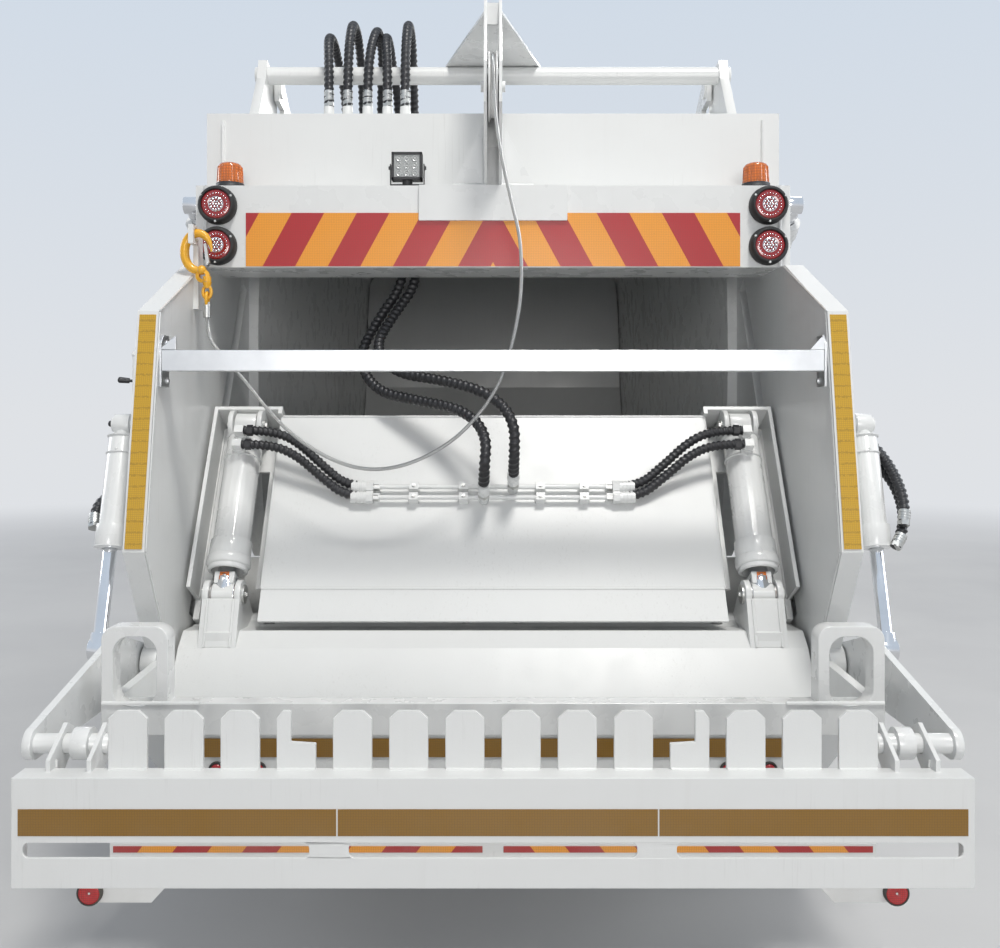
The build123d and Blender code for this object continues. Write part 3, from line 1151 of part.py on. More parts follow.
lift_anchor, lift_eye = (lift_anchor_y, lift_anchor_z), (lift_eye_y, lift_eye_z)
with BuildPart() as lift_barrels:
    barrels(lift_anchor, lift_eye, lift_cylinder_x, lift_barrel_r, lift_rod_r + seat, 50, 1050, 40, lift_eye_half,
            lift_pin_r)
keep(lift_barrels.part, "lift_barrels")
with BuildPart() as lift_rods:
    rods(lift_anchor, lift_eye, lift_cylinder_x, lift_rod_r, 160, 36, lift_eye_half)
keep(lift_rods.part, "lift_rods")

lifter_anchor, lifter_eye = (lifter_anchor_y, lifter_anchor_z), (lifter_eye_y, lifter_eye_z)
with BuildPart() as lifter_barrels:
    barrels(lifter_anchor, lifter_eye, lifter_cylinder_x, lifter_barrel_r, lifter_rod_r + seat, 44, lifter_barrel_length, 36,
            lifter_eye_half, lifter_pin_r)
keep(lifter_barrels.part, "lifter_barrels")
with BuildPart() as lifter_rods:
    rods(lifter_anchor, lifter_eye, lifter_cylinder_x, lifter_rod_r, 290, 34, lifter_eye_half)
keep(lifter_rods.part, "lifter_rods")

# Bin lifter: arms outside the hopper, then the comb beam on their ends
arm_hub_r, arm_eye_r, arm_pin_r = 66, 44, 26
collar_r, collar_half = 42, 22
clevis_half, clevis_plate = 46, 12
lifter_pivot, beam_pin = (lift_pivot_y, lift_pivot_z), (beam_pin_y, beam_pin_z)
with BuildPart() as lifter_arms:
    for side in (-1, 1):
        near, far = min(side * arm_x, side * (arm_x + arm_plate)), max(side * arm_x, side * (arm_x + arm_plate))
        side_plate([(lift_pivot_y + 10, lift_pivot_z - 60), (beam_pin_y, beam_pin_z - 42), (beam_pin_y, beam_pin_z + 42),
                    (lifter_eye_y - 30, lifter_eye_z + 38), (lifter_eye_y + 30, lifter_eye_z + 38),
                    (lift_pivot_y + 20, lift_pivot_z + 62)], near, far)
        cross_bar(*lifter_pivot, arm_hub_r, near, far)
        cross_bar(*lifter_eye, arm_eye_r, near, far)
        cross_bar(*beam_pin, 42, near, far)
        cross_bar(*lifter_pivot, arm_pivot_pin_r + seat, near - 1, far + 1, mode=Mode.SUBTRACT)
        # the pin that reaches in to the beam's clevis, with its collar
        inner = side * (beam_pin_x - clevis_half - clevis_plate - 14)
        cross_bar(*beam_pin, arm_pin_r, min(inner, side * arm_x), max(inner, side * arm_x))
        cross_bar(*beam_pin, collar_r, side * beam_pin_x - collar_half, side * beam_pin_x + collar_half)
keep(lifter_arms.part, "lifter_arms")

slot_low_z, slot_high_z = 620, 657
beam_slots = [(-1177, -460), (-361, 361), (460, 1177)]
stepped_teeth = (3, 10)
tooth_y = rear_y + beam_depth - comb_plate
with BuildPart() as comb_beam:
    block((-beam_half, beam_half), (rear_y, rear_y + beam_depth), (beam_bottom_z, beam_top_z))
    block((-beam_half + beam_plate, beam_half - beam_plate), (rear_y + beam_plate, rear_y + beam_depth + 1),
          (beam_bottom_z + beam_plate, beam_top_z - beam_plate), mode=Mode.SUBTRACT)
    for near, far in beam_slots:
        with BuildSketch(Plane.XZ.offset(-(rear_y + beam_depth / 2))) as slot:
            with Locations(((near + far) / 2, (slot_low_z + slot_high_z) / 2)):
                RectangleRounded(far - near, slot_high_z - slot_low_z, 15)
        extrude(slot.sketch, amount=beam_depth, mode=Mode.SUBTRACT)
    # the comb, its fourth teeth from each end stepped
    for i in range(comb_count):
        x = (i - (comb_count - 1) / 2) * comb_pitch
        left, right = x - comb_width / 2, x + comb_width / 2
        top, chamfer_x, chamfer_z = beam_top_z + comb_height, 22, 20
        with BuildSketch(Plane.XZ.offset(-(tooth_y + comb_plate))) as tooth:
            if i in stepped_teeth:
                step, edge = (x - 14, left) if i == stepped_teeth[0] else (x + 14, right)
                low_edge = right if i == stepped_teeth[0] else left
                Polygon((edge, beam_top_z - 4), (edge, top - chamfer_z), (edge + (step - edge) * 0.4, top), (step, top),
                        (step, beam_top_z + 70), (low_edge, beam_top_z + 66), (low_edge, beam_top_z - 4), align=None)
            else:
                Polygon((left, beam_top_z - 4), (left, top - chamfer_z), (left + chamfer_x, top),
                        (right - chamfer_x, top), (right, top - chamfer_z), (right, beam_top_z - 4), align=None)
        extrude(tooth.sketch, amount=comb_plate)
    # clevis plates for the arms' pins
    for side in (-1, 1):
        for ear in (-1, 1):
            near = side * beam_pin_x + ear * clevis_half
            far = near + ear * clevis_plate
            side_plate([(rear_y + beam_depth - 2, beam_top_z - 70), (beam_pin_y + 50, beam_pin_z - 20),
                        (beam_pin_y + 50, beam_pin_z + 30), (beam_pin_y + 10, beam_pin_z + 52),
                        (rear_y + beam_depth - 30, beam_top_z + 30), (rear_y + beam_depth - 30, beam_top_z - 4),
                        (rear_y + beam_depth - 2, beam_top_z - 4)], min(near, far), max(near, far))
            cross_bar(*beam_pin, arm_pin_r + seat, min(near, far) - 1, max(near, far) + 1, mode=Mode.SUBTRACT)
keep(comb_beam.part, "comb_beam")

# Lower rear beam under the sill, and the underrun bar on its hangers with square corner lamps
lower_half, lower_bottom_z, lower_depth = 930, 628, 50
under_half, under_top_z, under_bottom_z, under_y = 1100, 500, 395, -3690
end_plate_half, end_plate_low_z = 1190, 330
with BuildPart() as rear_beam:
    block((-lower_half, lower_half), (sill_y - sill_depth + 8, sill_y - sill_depth + 8 + lower_depth),
          (lower_bottom_z, sill_z - sill_drop))
    for side in (-1, 1):
        block((side * (lower_half - 60), side * lower_half), (under_y - 30, under_y + 90),
              (under_bottom_z + 20, lower_bottom_z + 60))
        # lamp plate at the bar's end, cut back along its lower inner corner
        with BuildSketch(Plane.XZ.offset(-(under_y - 34))) as plate:
            Polygon((side * end_plate_half, end_plate_low_z), (side * end_plate_half, under_bottom_z + 40),
                    (side * (under_half - 150), under_bottom_z + 40), (side * (under_half - 170), under_bottom_z - 10),
                    (side * (under_half - 120), end_plate_low_z), align=None)
        extrude(plate.sketch, amount=6)
        with Locations(Location((side * (end_plate_half - 36), under_y - 40, 362), (90, 0, 0))):
            Cylinder(28, 14, align=(Align.CENTER, Align.CENTER, Align.MIN))
    block((-under_half, under_half), (under_y - 40, under_y + 40), (under_bottom_z, under_top_z))
keep(rear_beam.part, "rear_beam")


def cord(points, radius, given=None):
    """A round cord or hose along points, every corner's arc as large as its runs allow."""
    spots = [Vector(*p) for p in points]
    radii = []
    for i in range(1, len(spots) - 1):
        before, after = spots[i] - spots[i - 1], spots[i + 1] - spots[i]
        turn = before.get_angle(after)
        fit = 0.45 * min(before.length, after.length) * cos(radians(turn / 2)) / sin(radians(turn / 2))
        radii.append((given or {}).get(i, fit))
    with BuildLine() as route:
        FilletPolyline(*spots, radius=radii)
    path = route.wires()[0]
    with BuildSketch(Plane(origin=path @ 0, z_dir=path % 0)) as section:
        Circle(radius)
    sweep(section.sketch, path=path)
    print("cord length", round(path.length), "smallest radii", [round(r) for r in sorted(radii)[:3]])


# Winch rope: from the fairlead over the sheave, down behind the carrier and up to the hook
rope_r = 7
rope_x_hook, rope_y_hook = -1062, -2885
rope_top_z = sheave_z + groove_r + rope_r + seat
rope_out_y = sheave_y - groove_r - rope_r - seat
fairlead_y = -2775
rope_end_z = 2112
rope_route = [
    (0, fairlead_y, rope_top_z), (0, rope_out_y, rope_top_z), (3, rope_out_y - 1, 2880), (26, -2974, 2690),
    (70, -2980, 2492), (97, -2990, 2386), (104, -3000, 2248), (96, -3002, 2118), (65, -3000, 1971),
    (22, -2996, 1841), (-50, -2998, 1733), (-151, -3003, 1632), (-300, -3006, 1553), (-443, -3004, 1531),
    (-580, -2998, 1567), (-724, -2984, 1657), (-828, -2966, 1762), (-906, -2948, 1860), (-1004, -2918, 1962),
    (rope_x_hook, rope_y_hook, 2030), (rope_x_hook, rope_y_hook, rope_end_z)]
with BuildPart() as lift_rope:
    cord(rope_route, rope_r, given={1: groove_r + rope_r + seat})
keep(lift_rope.part, "lift_rope")
hook_x, hook_z, hook_half = -1094, 2338, 13
with BuildPart() as rope_hook:
    with Locations((rope_x_hook, rope_y_hook, rope_end_z + 30)):
        Cylinder(13, 60)
    with Locations(Location((rope_x_hook, rope_y_hook, rope_end_z + 80), (90, 0, 0))):
        Torus(24, 10)
    with BuildSketch(Plane.XZ.offset(-rope_y_hook - hook_half)) as bowl:
        with Locations((hook_x, hook_z)):
            Ellipse(66, 84)
        with Locations((hook_x - 4, hook_z + 4)):
            Ellipse(36, 54, mode=Mode.SUBTRACT)
        with Locations((hook_x + 16, hook_z - 88)):
            Circle(26)
            Circle(11, mode=Mode.SUBTRACT)
    extrude(bowl.sketch, amount=2 * hook_half)
    with Locations((rope_x_hook, rope_y_hook, rope_end_z + 127)):
        Cylinder(12, 24)
keep(rope_hook.part, "rope_hook")

# Pressure pipes, clamps and fittings on the carrier's face
pipe_r, pipe_stand, fitting_r = 9, 26, 20
pipe_rows = (430, 474)
pipe_half = 300
fittings = [(-34, pipe_rows[0]), (76, pipe_rows[1])]
clamp_places = (-300, -112, 180, 345)
pipe_t = carrier_face_t + pipe_stand
with BuildPart() as carrier_pipes:
    for s in pipe_rows:
        y, z = on_slide(s, pipe_t)
        cross_bar(y, z, pipe_r, -pipe_half - 140, pipe_half + 140)
        for x in clamp_places:
            slide_bar((s - 15, s + 15), (carrier_face_t, pipe_t + 14), x - 17, x + 17)
        for side in (-1, 1):
            slide_bar((s - 12, s + 12), (carrier_face_t, pipe_t + 12), side * (pipe_half + 140) - 12,
                      side * (pipe_half + 140) + 12)
    for x, s in fittings:
        rod_between((x, *on_slide(s, carrier_face_t)), (x, *on_slide(s, pipe_t + 44)), fitting_r)
keep(carrier_pipes.part, "carrier_pipes")

# Feed hoses from a block under the hood down to the fittings; they flex as the carrier slides
hose_r = 19
ax, ay, az = (fittings[0][0], *on_slide(fittings[0][1], pipe_t + 44))
bx, by, bz = (fittings[1][0], *on_slide(fittings[1][1], pipe_t + 44))
hose_routes = [
    [(feed_x - 28, feed_y, feed_z), (feed_x - 28, feed_y, 2300), (-480, -2440, 2130), (-550, -2530, 1970),
     (-470, -2640, 1830), (-290, -2740, 1790), (-110, -2860, 1755), (-20, -2960, 1665),
     (ax, *on_slide(fittings[0][1], pipe_t + 200)), (ax, ay, az)],
    [(feed_x + 28, feed_y, feed_z), (feed_x + 28, feed_y, 2300), (-410, -2460, 2150), (-480, -2570, 2010),
     (-390, -2690, 1900), (-200, -2790, 1868), (-20, -2890, 1820), (80, -2980, 1720),
     (bx, *on_slide(fittings[1][1], pipe_t + 200)), (bx, by, bz)]]
with BuildPart() as feed_hoses:
    for route in hose_routes:
        cord(route, hose_r)
keep(feed_hoses.part, "feed_hoses")

# Hoses from the pipes' ends to the ports of the sweep cylinders
branch_r = 14
with BuildPart() as cylinder_hoses:
    for side in (-1, 1):
        for s, port in zip(pipe_rows, port_levels):
            drop = port - s
            cord([(side * (pipe_half + 152 + seat), *on_slide(s, pipe_t)),
                  (side * (pipe_half + 250), *on_slide(s, pipe_t)),
                  (side * (pipe_half + 350), *on_slide(s + 0.4 * drop, pipe_t + 24)),
                  (side * (pipe_half + 450), *on_slide(s + 0.8 * drop, port_t - 8)),
                  (side * (pipe_half + 550), *on_slide(port, port_t)),
                  (side * (cylinder_x - port_half - seat), *on_slide(port, port_t))], branch_r)
keep(cylinder_hoses.part, "cylinder_hoses")

# Hose loops over the tailgate hinge; they flex as the tailgate lifts
with BuildPart() as roof_hoses:
    for i, x in enumerate(loop_places):
        rise = 3430 + 28 * ((i * 2) % 3)
        lean = 22 * ((i % 3) - 1)
        cord([(x, loop_front_y, loop_front_z), (x, loop_front_y, 3240),
              (x + lean, loop_front_y - 120, rise - 40), (x + lean, loop_front_y - 250, rise),
              (x + lean, loop_front_y - 390, rise - 30), (x, loop_rear_y, 3240), (x, loop_rear_y, loop_rear_z)],
             loop_r)
keep(roof_hoses.part, "roof_hoses")

# Control box with its levers on the left cheek
with BuildPart() as control_box:
    x_face = -cheek_outer
    block((x_face - 90, x_face), (-3040, -2880), (1560, 1960))
    fillet(control_box.edges().filter_by(Axis.X), 14)
    for i in range(4):
        z = 1640 + i * 80
        block((x_face - 110, x_face - 88), (-3030, -2990), (z - 24, z + 24))
        rod_between((x_face - 99, -3020, z), (x_face - 99, -3105, z + 20), 7)
        with Locations((x_face - 99, -3105, z + 20)):
            Sphere(15)
keep(control_box.part, "control_box")

# Fuel tank, battery box, mudguards and side guards along the chassis
tank_y, tank_half_length = 420, 480
with BuildPart() as chassis_boxes:
    with BuildSketch(Plane.XZ.offset(-(tank_y - tank_half_length))) as tank:
        with Locations((790, 650)):
            RectangleRounded(600, 500, 90)
    extrude(tank.sketch, amount=-2 * tank_half_length)
    for y in (tank_y - 300, tank_y + 300):
        block((rail_x, 500), (y - 40, y + 40), (rail_bottom + 20, rail_top - 20))
    with Locations(Location((920, tank_y + 380, 900))):
        Cylinder(48, 60)
    block((-1060, -520), (150, 830), (470, 880))
    fillet(chassis_boxes.edges().group_by(Axis.X)[0], 24)
    block((-1066, -516), (146, 834), (800, 812))
    for y in (260, 720):
        block((-530, -rail_x), (y - 40, y + 40), (rail_bottom + 20, rail_top - 20))
keep(chassis_boxes.part, "chassis_boxes")
guard_r, guard_plate = 555, 8
guard_rear_y, guard_front_y = rear_axle_y + 710, front_axle_y - 840
with BuildPart() as guards:
    for side in (-1, 1):
        inner, outer = side * 612, side * 1188
        for low, high in ((-8, 62), (118, 188)):
            with BuildSketch(Plane.YZ.offset(min(inner, outer))) as arc:
                with BuildLine():
                    near, far = guard_r, guard_r + guard_plate
                    pair = [CenterArc((rear_axle_y, axle_z), r, low, high - low) for r in (near, far)]
                    Line(pair[0] @ 0, pair[1] @ 0)
                    Line(pair[0] @ 1, pair[1] @ 1)
                make_face()
            extrude(arc.sketch, amount=576)
        for end in (-1, 1):
            y = rear_axle_y + end * (guard_r - 98)
            block((side * rail_x, side * 620), (y - 12, y + 12), (rail_bottom + 60, rail_bottom + 120))
    for side in (-1, 1):
        for z in (520, 800):
            block((side * 1110, side * 1140), (guard_rear_y, guard_front_y), (z - 60, z + 60))
        for y in (guard_rear_y + 120, guard_front_y - 880, guard_front_y - 110):
            block((side * 1080, side * 1112), (y - 30, y + 30), (460, body_floor_z - 46 - 10))
            block((side * 1010, side * 1112), (y - 30, y + 30), (body_floor_z - 76, body_floor_z - 46))
keep(guards.part, "guards")

# Cab interior: seats, dashboard, steering wheel; and the grille, mirrors and wipers outside
seat_y, seat_z = front_y - 1200, 1520
with BuildPart() as cab_interior:
    for x in (-560, 560):
        block((x - 250, x + 250), (seat_y - 260, seat_y + 260), (seat_z, seat_z + 130))
        block((x - 240, x + 240), (seat_y - 380, seat_y - 240), (seat_z + 40, seat_z + 760))
        fillet(cab_interior.edges().filter_by(Axis.X).group_by(Axis.Z)[-1], 40)
        block((x - 200, x + 200), (seat_y - 220, seat_y + 220), (cab_bottom_z + cab_wall, seat_z + 2))
    side_plate([(front_y - 340, 1700), (front_y - 120, 1760), (front_y - 120, 1480), (front_y - 270, 1440)],
               -cab_half + 190, cab_half - 190)
    block((-700, 700), (front_y - 220, front_y - 130), (cab_bottom_z + cab_wall, 1500))
    wheel_centre = (560, front_y - 540, 1800)
    with Locations(Location(wheel_centre, (-32, 0, 0))):
        Torus(215, 16)
        Cylinder(50, 40)
        Box(400, 34, 18)
    rod_between(wheel_centre, (560, front_y - 300, 1440), 30)
keep(cab_interior.part, "cab_interior")
with BuildPart() as cab_grille:
    block((-720, 720), (cab_front_y, cab_front_y + 26), (1330, 1640))
    fillet(cab_grille.edges().filter_by(Axis.Y), 30)
    for i in range(5):
        z = 1375 + i * 56
        block((-660, 660), (cab_front_y + 8, cab_front_y + 30), (z - 15, z + 15), mode=Mode.SUBTRACT)
keep(cab_grille.part, "cab_grille")
with BuildPart() as mirrors:
    for side in (-1, 1):
        x = side * (cab_half + 170)
        block((x - 100, x + 100), (front_y - 115, front_y - 40), (1850, 2230))
        fillet(mirrors.edges().filter_by(Axis.Z).group_by(Axis.X)[-1 if side > 0 else 0], 24)
        block((side * cab_half, x), (front_y - 400, front_y - 370), (2540, 2564))
        block((x - 12, x + 12), (front_y - 400, front_y - 76), (2540, 2564))
        block((x - 12, x + 12), (front_y - 100, front_y - 76), (2200, 2564))
keep(mirrors.part, "mirrors")
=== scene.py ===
"""Looks of a rear-loading refuse truck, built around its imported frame. Metres; +X right, +Y forward, +Z up."""

from math import cos, hypot, pi, radians, sin

import bmesh
import bpy
from mathutils import Matrix, Vector, noise


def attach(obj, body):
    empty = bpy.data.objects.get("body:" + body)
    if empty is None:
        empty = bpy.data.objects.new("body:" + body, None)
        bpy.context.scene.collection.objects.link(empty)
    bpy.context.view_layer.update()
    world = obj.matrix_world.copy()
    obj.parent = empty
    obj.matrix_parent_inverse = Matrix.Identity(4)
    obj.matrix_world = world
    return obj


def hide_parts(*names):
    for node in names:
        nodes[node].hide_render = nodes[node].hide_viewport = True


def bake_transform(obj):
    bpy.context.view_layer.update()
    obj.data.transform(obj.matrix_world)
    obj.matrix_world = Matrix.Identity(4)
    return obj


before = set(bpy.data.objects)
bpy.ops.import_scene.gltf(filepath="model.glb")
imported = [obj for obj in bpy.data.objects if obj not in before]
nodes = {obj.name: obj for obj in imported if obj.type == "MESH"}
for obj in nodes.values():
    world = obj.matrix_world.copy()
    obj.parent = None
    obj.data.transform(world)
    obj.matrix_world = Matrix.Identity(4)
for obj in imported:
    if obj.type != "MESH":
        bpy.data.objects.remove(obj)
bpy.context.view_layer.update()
mm = 0.001

# Camera: level, straight behind the truck, a little below the middle of its height
camera_back, camera_height = -6.6, 1.715
camera_data = bpy.data.cameras.new("camera")
camera_data.lens = camera_data.sensor_width = 36
camera_data.shift_x, camera_data.shift_y = 0.007, -0.054
camera = bpy.data.objects.new("camera", camera_data)
camera.location = (0, camera_back, camera_height)
camera.rotation_euler = (radians(90), 0, 0)
bpy.context.scene.collection.objects.link(camera)
bpy.context.scene.camera = camera


# Node trees
class Net:
    """A node tree with short ways to add nodes and join their sockets."""

    def __init__(self, tree):
        self.tree = tree

    def feed(self, socket, value):
        if isinstance(value, bpy.types.NodeSocket):
            self.tree.links.new(value, socket)
        else:
            socket.default_value = value

    def add(self, kind, settings=None, **inputs):
        node = self.tree.nodes.new("ShaderNode" + kind)
        for key, value in (settings or {}).items():
            setattr(node, key, value)
        for key, value in inputs.items():
            self.feed(node.inputs[key.replace("_", " ")], value)
        return node

    def math(self, operation, a, b=0.0, clamp=False):
        node = self.add("Math", {"operation": operation, "use_clamp": clamp})
        self.feed(node.inputs[0], a)
        self.feed(node.inputs[1], b)
        return node.outputs[0]

    def remap(self, value, low, high, to_low=0.0, to_high=1.0, smooth=False):
        node = self.add("MapRange", {"interpolation_type": "SMOOTHSTEP" if smooth else "LINEAR"}, Value=value)
        for label, number in (("From Min", low), ("From Max", high), ("To Min", to_low), ("To Max", to_high)):
            self.feed(node.inputs[label], number)
        return node.outputs[0]

    def mix(self, factor, a, b, blend="MIX"):
        node = self.add("Mix", {"data_type": "RGBA", "blend_type": blend})
        for i, value in ((0, factor), (6, a), (7, b)):
            self.feed(node.inputs[i], value)
        return node.outputs[2]

    def place(self, scale=(1, 1, 1), turn=(0, 0, 0)):
        """The piece's own coordinates in metres, scaled."""
        where = self.add("TexCoord").outputs["Object"]
        return self.add("Mapping", Vector=where, Scale=scale, Rotation=turn).outputs[0]

    def noise(self, scale, detail=3.0, roughness=0.55, vector=None, distortion=0.0):
        node = self.add("TexNoise", Scale=scale, Detail=detail, Roughness=roughness, Distortion=distortion,
                        Vector=vector if vector is not None else self.place())
        return node.outputs["Fac"]

    def bump(self, height, distance, strength=1.0, normal=None):
        node = self.add("Bump", Height=height, Distance=distance, Strength=strength)
        if normal is not None:
            self.feed(node.inputs["Normal"], normal)
        return node.outputs[0]


KINDS = {"float": "NodeSocketFloat", "color": "NodeSocketColor", "vector": "NodeSocketVector"}


def group(name, inputs, outputs):
    """A shader group: its net, its inputs by name, and a call that joins its outputs."""
    tree = bpy.data.node_groups.new(name, "ShaderNodeTree")
    for label, (kind, value) in inputs.items():
        tree.interface.new_socket(label, in_out="INPUT", socket_type=KINDS[kind]).default_value = value
    for label, kind in outputs.items():
        tree.interface.new_socket(label, in_out="OUTPUT", socket_type=KINDS[kind])
    net = Net(tree)
    given = tree.nodes.new("NodeGroupInput").outputs
    result = tree.nodes.new("NodeGroupOutput").inputs

    def put(**values):
        for label, socket in values.items():
            net.feed(result[label.replace("_", " ")], socket)

    return net, given, put


# Paint skin: orange peel, soft mottling and rain streaks under a coat of paint
net, given, put = group("Paint skin", {
    "Color": ("color", (0.8, 0.8, 0.8, 1)), "Peel": ("float", 0.3), "Streaks": ("float", 0.25),
    "Gloss": ("float", 0.25)}, {"Color": "color", "Roughness": "float", "Normal": "vector"})
mottle = net.noise(2.3, 4)
drops = net.noise(1.0, 5, vector=net.place((16, 16, 0.7)))
normal = net.add("SeparateXYZ", Vector=net.add("NewGeometry").outputs["Normal"]).outputs
upright = net.math("SUBTRACT", 1.0, net.math("ABSOLUTE", normal["Z"]), clamp=True)
rain = net.math("MULTIPLY", net.remap(drops, 0.54, 0.78, smooth=True), given["Streaks"])
rain = net.math("MULTIPLY", rain, upright)
tone = net.mix(net.remap(mottle, 0.35, 0.7, 0, 0.35), given["Color"],
               net.mix(0.12, given["Color"], (0.45, 0.42, 0.38, 1)))
peel = net.noise(260, 2)
put(Color=net.mix(rain, tone, (0.5, 0.48, 0.44, 1)),
    Roughness=net.math("ADD", given["Gloss"], net.remap(net.noise(9, 4), 0.3, 0.8, 0, 0.18)),
    Normal=net.bump(peel, 0.0006, given["Peel"]))

# Road dust: a film that thickens towards the ground and gathers in patches
net, given, put = group("Road dust", {
    "Color": ("color", (0.8, 0.8, 0.8, 1)), "Roughness": ("float", 0.4), "Top": ("float", 1.2),
    "Amount": ("float", 0.5), "Dust": ("color", (0.36, 0.31, 0.25, 1))}, {"Color": "color", "Roughness": "float"})
height = net.add("SeparateXYZ", Vector=net.place()).outputs["Z"]
low = net.remap(height, 0.1, given["Top"], 1, 0, smooth=True)
patches = net.remap(net.noise(5, 6, 0.62), 0.35, 0.7, smooth=True)
film = net.math("MULTIPLY", net.math("MULTIPLY", low, net.math("ADD", patches, 0.35)), given["Amount"], clamp=True)
put(Color=net.mix(film, given["Color"], given["Dust"]),
    Roughness=net.math("ADD", given["Roughness"], net.math("MULTIPLY", film, 0.5), clamp=True))

# Edge wear: where the surface turns, broken up by scratches
net, given, put = group("Edge wear", {"Width": ("float", 0.004), "Amount": ("float", 0.5)}, {"Mask": "float"})
rounded = net.add("Bevel", {"samples": 4}, Radius=given["Width"]).outputs[0]
flat = net.add("NewGeometry").outputs["Normal"]
turned = net.add("VectorMath", {"operation": "DOT_PRODUCT"})
net.feed(turned.inputs[0], rounded)
net.feed(turned.inputs[1], flat)
edge = net.remap(turned.outputs["Value"], 0.995, 0.93)
chips = net.remap(net.noise(70, 6, 0.7), 0.48, 0.6)
put(Mask=net.math("MULTIPLY", net.math("MULTIPLY", edge, chips), given["Amount"], clamp=True))

# Scuffs: long fine scratches from what slides past
net, given, put = group("Scuffs", {"Turn": ("vector", (0, 0, 0)), "Amount": ("float", 0.5)},
                        {"Mask": "float", "Height": "float"})
stretched = net.add("Mapping", Vector=net.add("TexCoord").outputs["Object"], Rotation=given["Turn"],
                    Scale=(70, 70, 2.5)).outputs[0]
lines = net.noise(1.6, 6, 0.7, vector=stretched)
where = net.remap(net.noise(2.6, 4), 0.42, 0.62, smooth=True)
put(Mask=net.math("MULTIPLY", net.math("MULTIPLY", net.remap(lines, 0.56, 0.68), where), given["Amount"]),
    Height=lines)

# Grain: the pebbled skin of moulded plastic, rubber or castings
net, given, put = group("Grain", {"Size": ("float", 400.0), "Strength": ("float", 0.3)}, {"Normal": "vector"})
cells = net.add("TexVoronoi", {"feature": "SMOOTH_F1"}, Vector=net.place(), Scale=given["Size"]).outputs["Distance"]
put(Normal=net.bump(net.math("ADD", cells, net.noise(900, 2)), 0.0008, given["Strength"]))

# Reflective sheet: small bright cells with darker seams between them
net, given, put = group("Reflective cells", {"Color": ("color", (0.8, 0.3, 0.1, 1)), "Size": ("float", 180.0)},
                        {"Color": "color", "Normal": "vector"})
edges = net.add("TexVoronoi", {"feature": "DISTANCE_TO_EDGE"}, Vector=net.place(), Scale=given["Size"],
                Randomness=0.15).outputs["Distance"]
seam = net.remap(edges, 0.02, 0.1)
put(Color=net.mix(seam, net.mix(0.35, given["Color"], (0.05, 0.03, 0.02, 1)), given["Color"]),
    Normal=net.bump(seam, 0.0004, 0.35))

# Slanted stripes, mirrored about the truck's middle
net, given, put = group("Slanted stripes", {
    "Width": ("float", 0.127), "Lean": ("float", 0.55), "First": ("color", (0.45, 0.01, 0.01, 1)),
    "Second": ("color", (0.8, 0.35, 0.02, 1))}, {"Color": "color"})
axes = net.add("SeparateXYZ", Vector=net.place()).outputs
along = net.math("ADD", net.math("ABSOLUTE", axes["X"]), net.math("MULTIPLY", axes["Z"], given["Lean"]))
band = net.math("FRACT", net.math("DIVIDE", along, net.math("MULTIPLY", given["Width"], 2.0)))
put(Color=net.mix(net.math("GREATER_THAN", band, 0.5), given["First"], given["Second"]))

# Rust bloom for bare steel
net, given, put = group("Rust", {"Color": ("color", (0.5, 0.5, 0.5, 1)), "Amount": ("float", 0.3)},
                        {"Color": "color", "Metallic": "float", "Roughness": "float"})
bloom = net.math("MULTIPLY", net.remap(net.noise(14, 8, 0.68), 0.48, 0.66, smooth=True), given["Amount"])
tint = net.mix(net.noise(60, 4), (0.16, 0.06, 0.025, 1), (0.3, 0.13, 0.05, 1))
put(Color=net.mix(bloom, given["Color"], tint), Metallic=net.remap(bloom, 0, 0.6, 1, 0.1),
    Roughness=net.remap(bloom, 0, 1, 0.32, 0.85))


def use(net, name, **inputs):
    """Places a group in a net and returns its outputs."""
    node = net.tree.nodes.new("ShaderNodeGroup")
    node.node_tree = bpy.data.node_groups[name]
    for key, value in inputs.items():
        net.feed(node.inputs[key.replace("_", " ")], value)
    return node.outputs


finishes = {}


def finish_of(name, **values):
    """A new material with these values set on its Principled BSDF."""
    material = bpy.data.materials.new(name)
    material.use_nodes = True
    finishes[name] = material
    net = Net(material.node_tree)
    shader = material.node_tree.nodes["Principled BSDF"].inputs
    for key, value in values.items():
        shader[key.replace("_", " ")].default_value = value
    return net, shader


def paint(name, color, gloss=0.22, peel=0.25, streaks=0.12, dust=0.35, dust_top=1.3, wear=0.0, coat=0.4,
          bare=(0.28, 0.27, 0.26, 1)):
    """Sprayed paint with peel, streaks, dust near the ground and, where wear is above 0, chipped edges."""
    net, shader = finish_of(name, Coat_Weight=coat, Coat_Roughness=0.08)
    skin = use(net, "Paint skin", Color=color, Peel=peel, Streaks=streaks, Gloss=gloss)
    tone = skin["Color"]
    if wear:
        tone = net.mix(use(net, "Edge wear", Amount=wear)["Mask"], tone, bare)
    dusty = use(net, "Road dust", Color=tone, Roughness=skin["Roughness"], Top=dust_top, Amount=dust)
    net.feed(shader["Base Color"], dusty["Color"])
    net.feed(shader["Roughness"], dusty["Roughness"])
    net.feed(shader["Normal"], skin["Normal"])


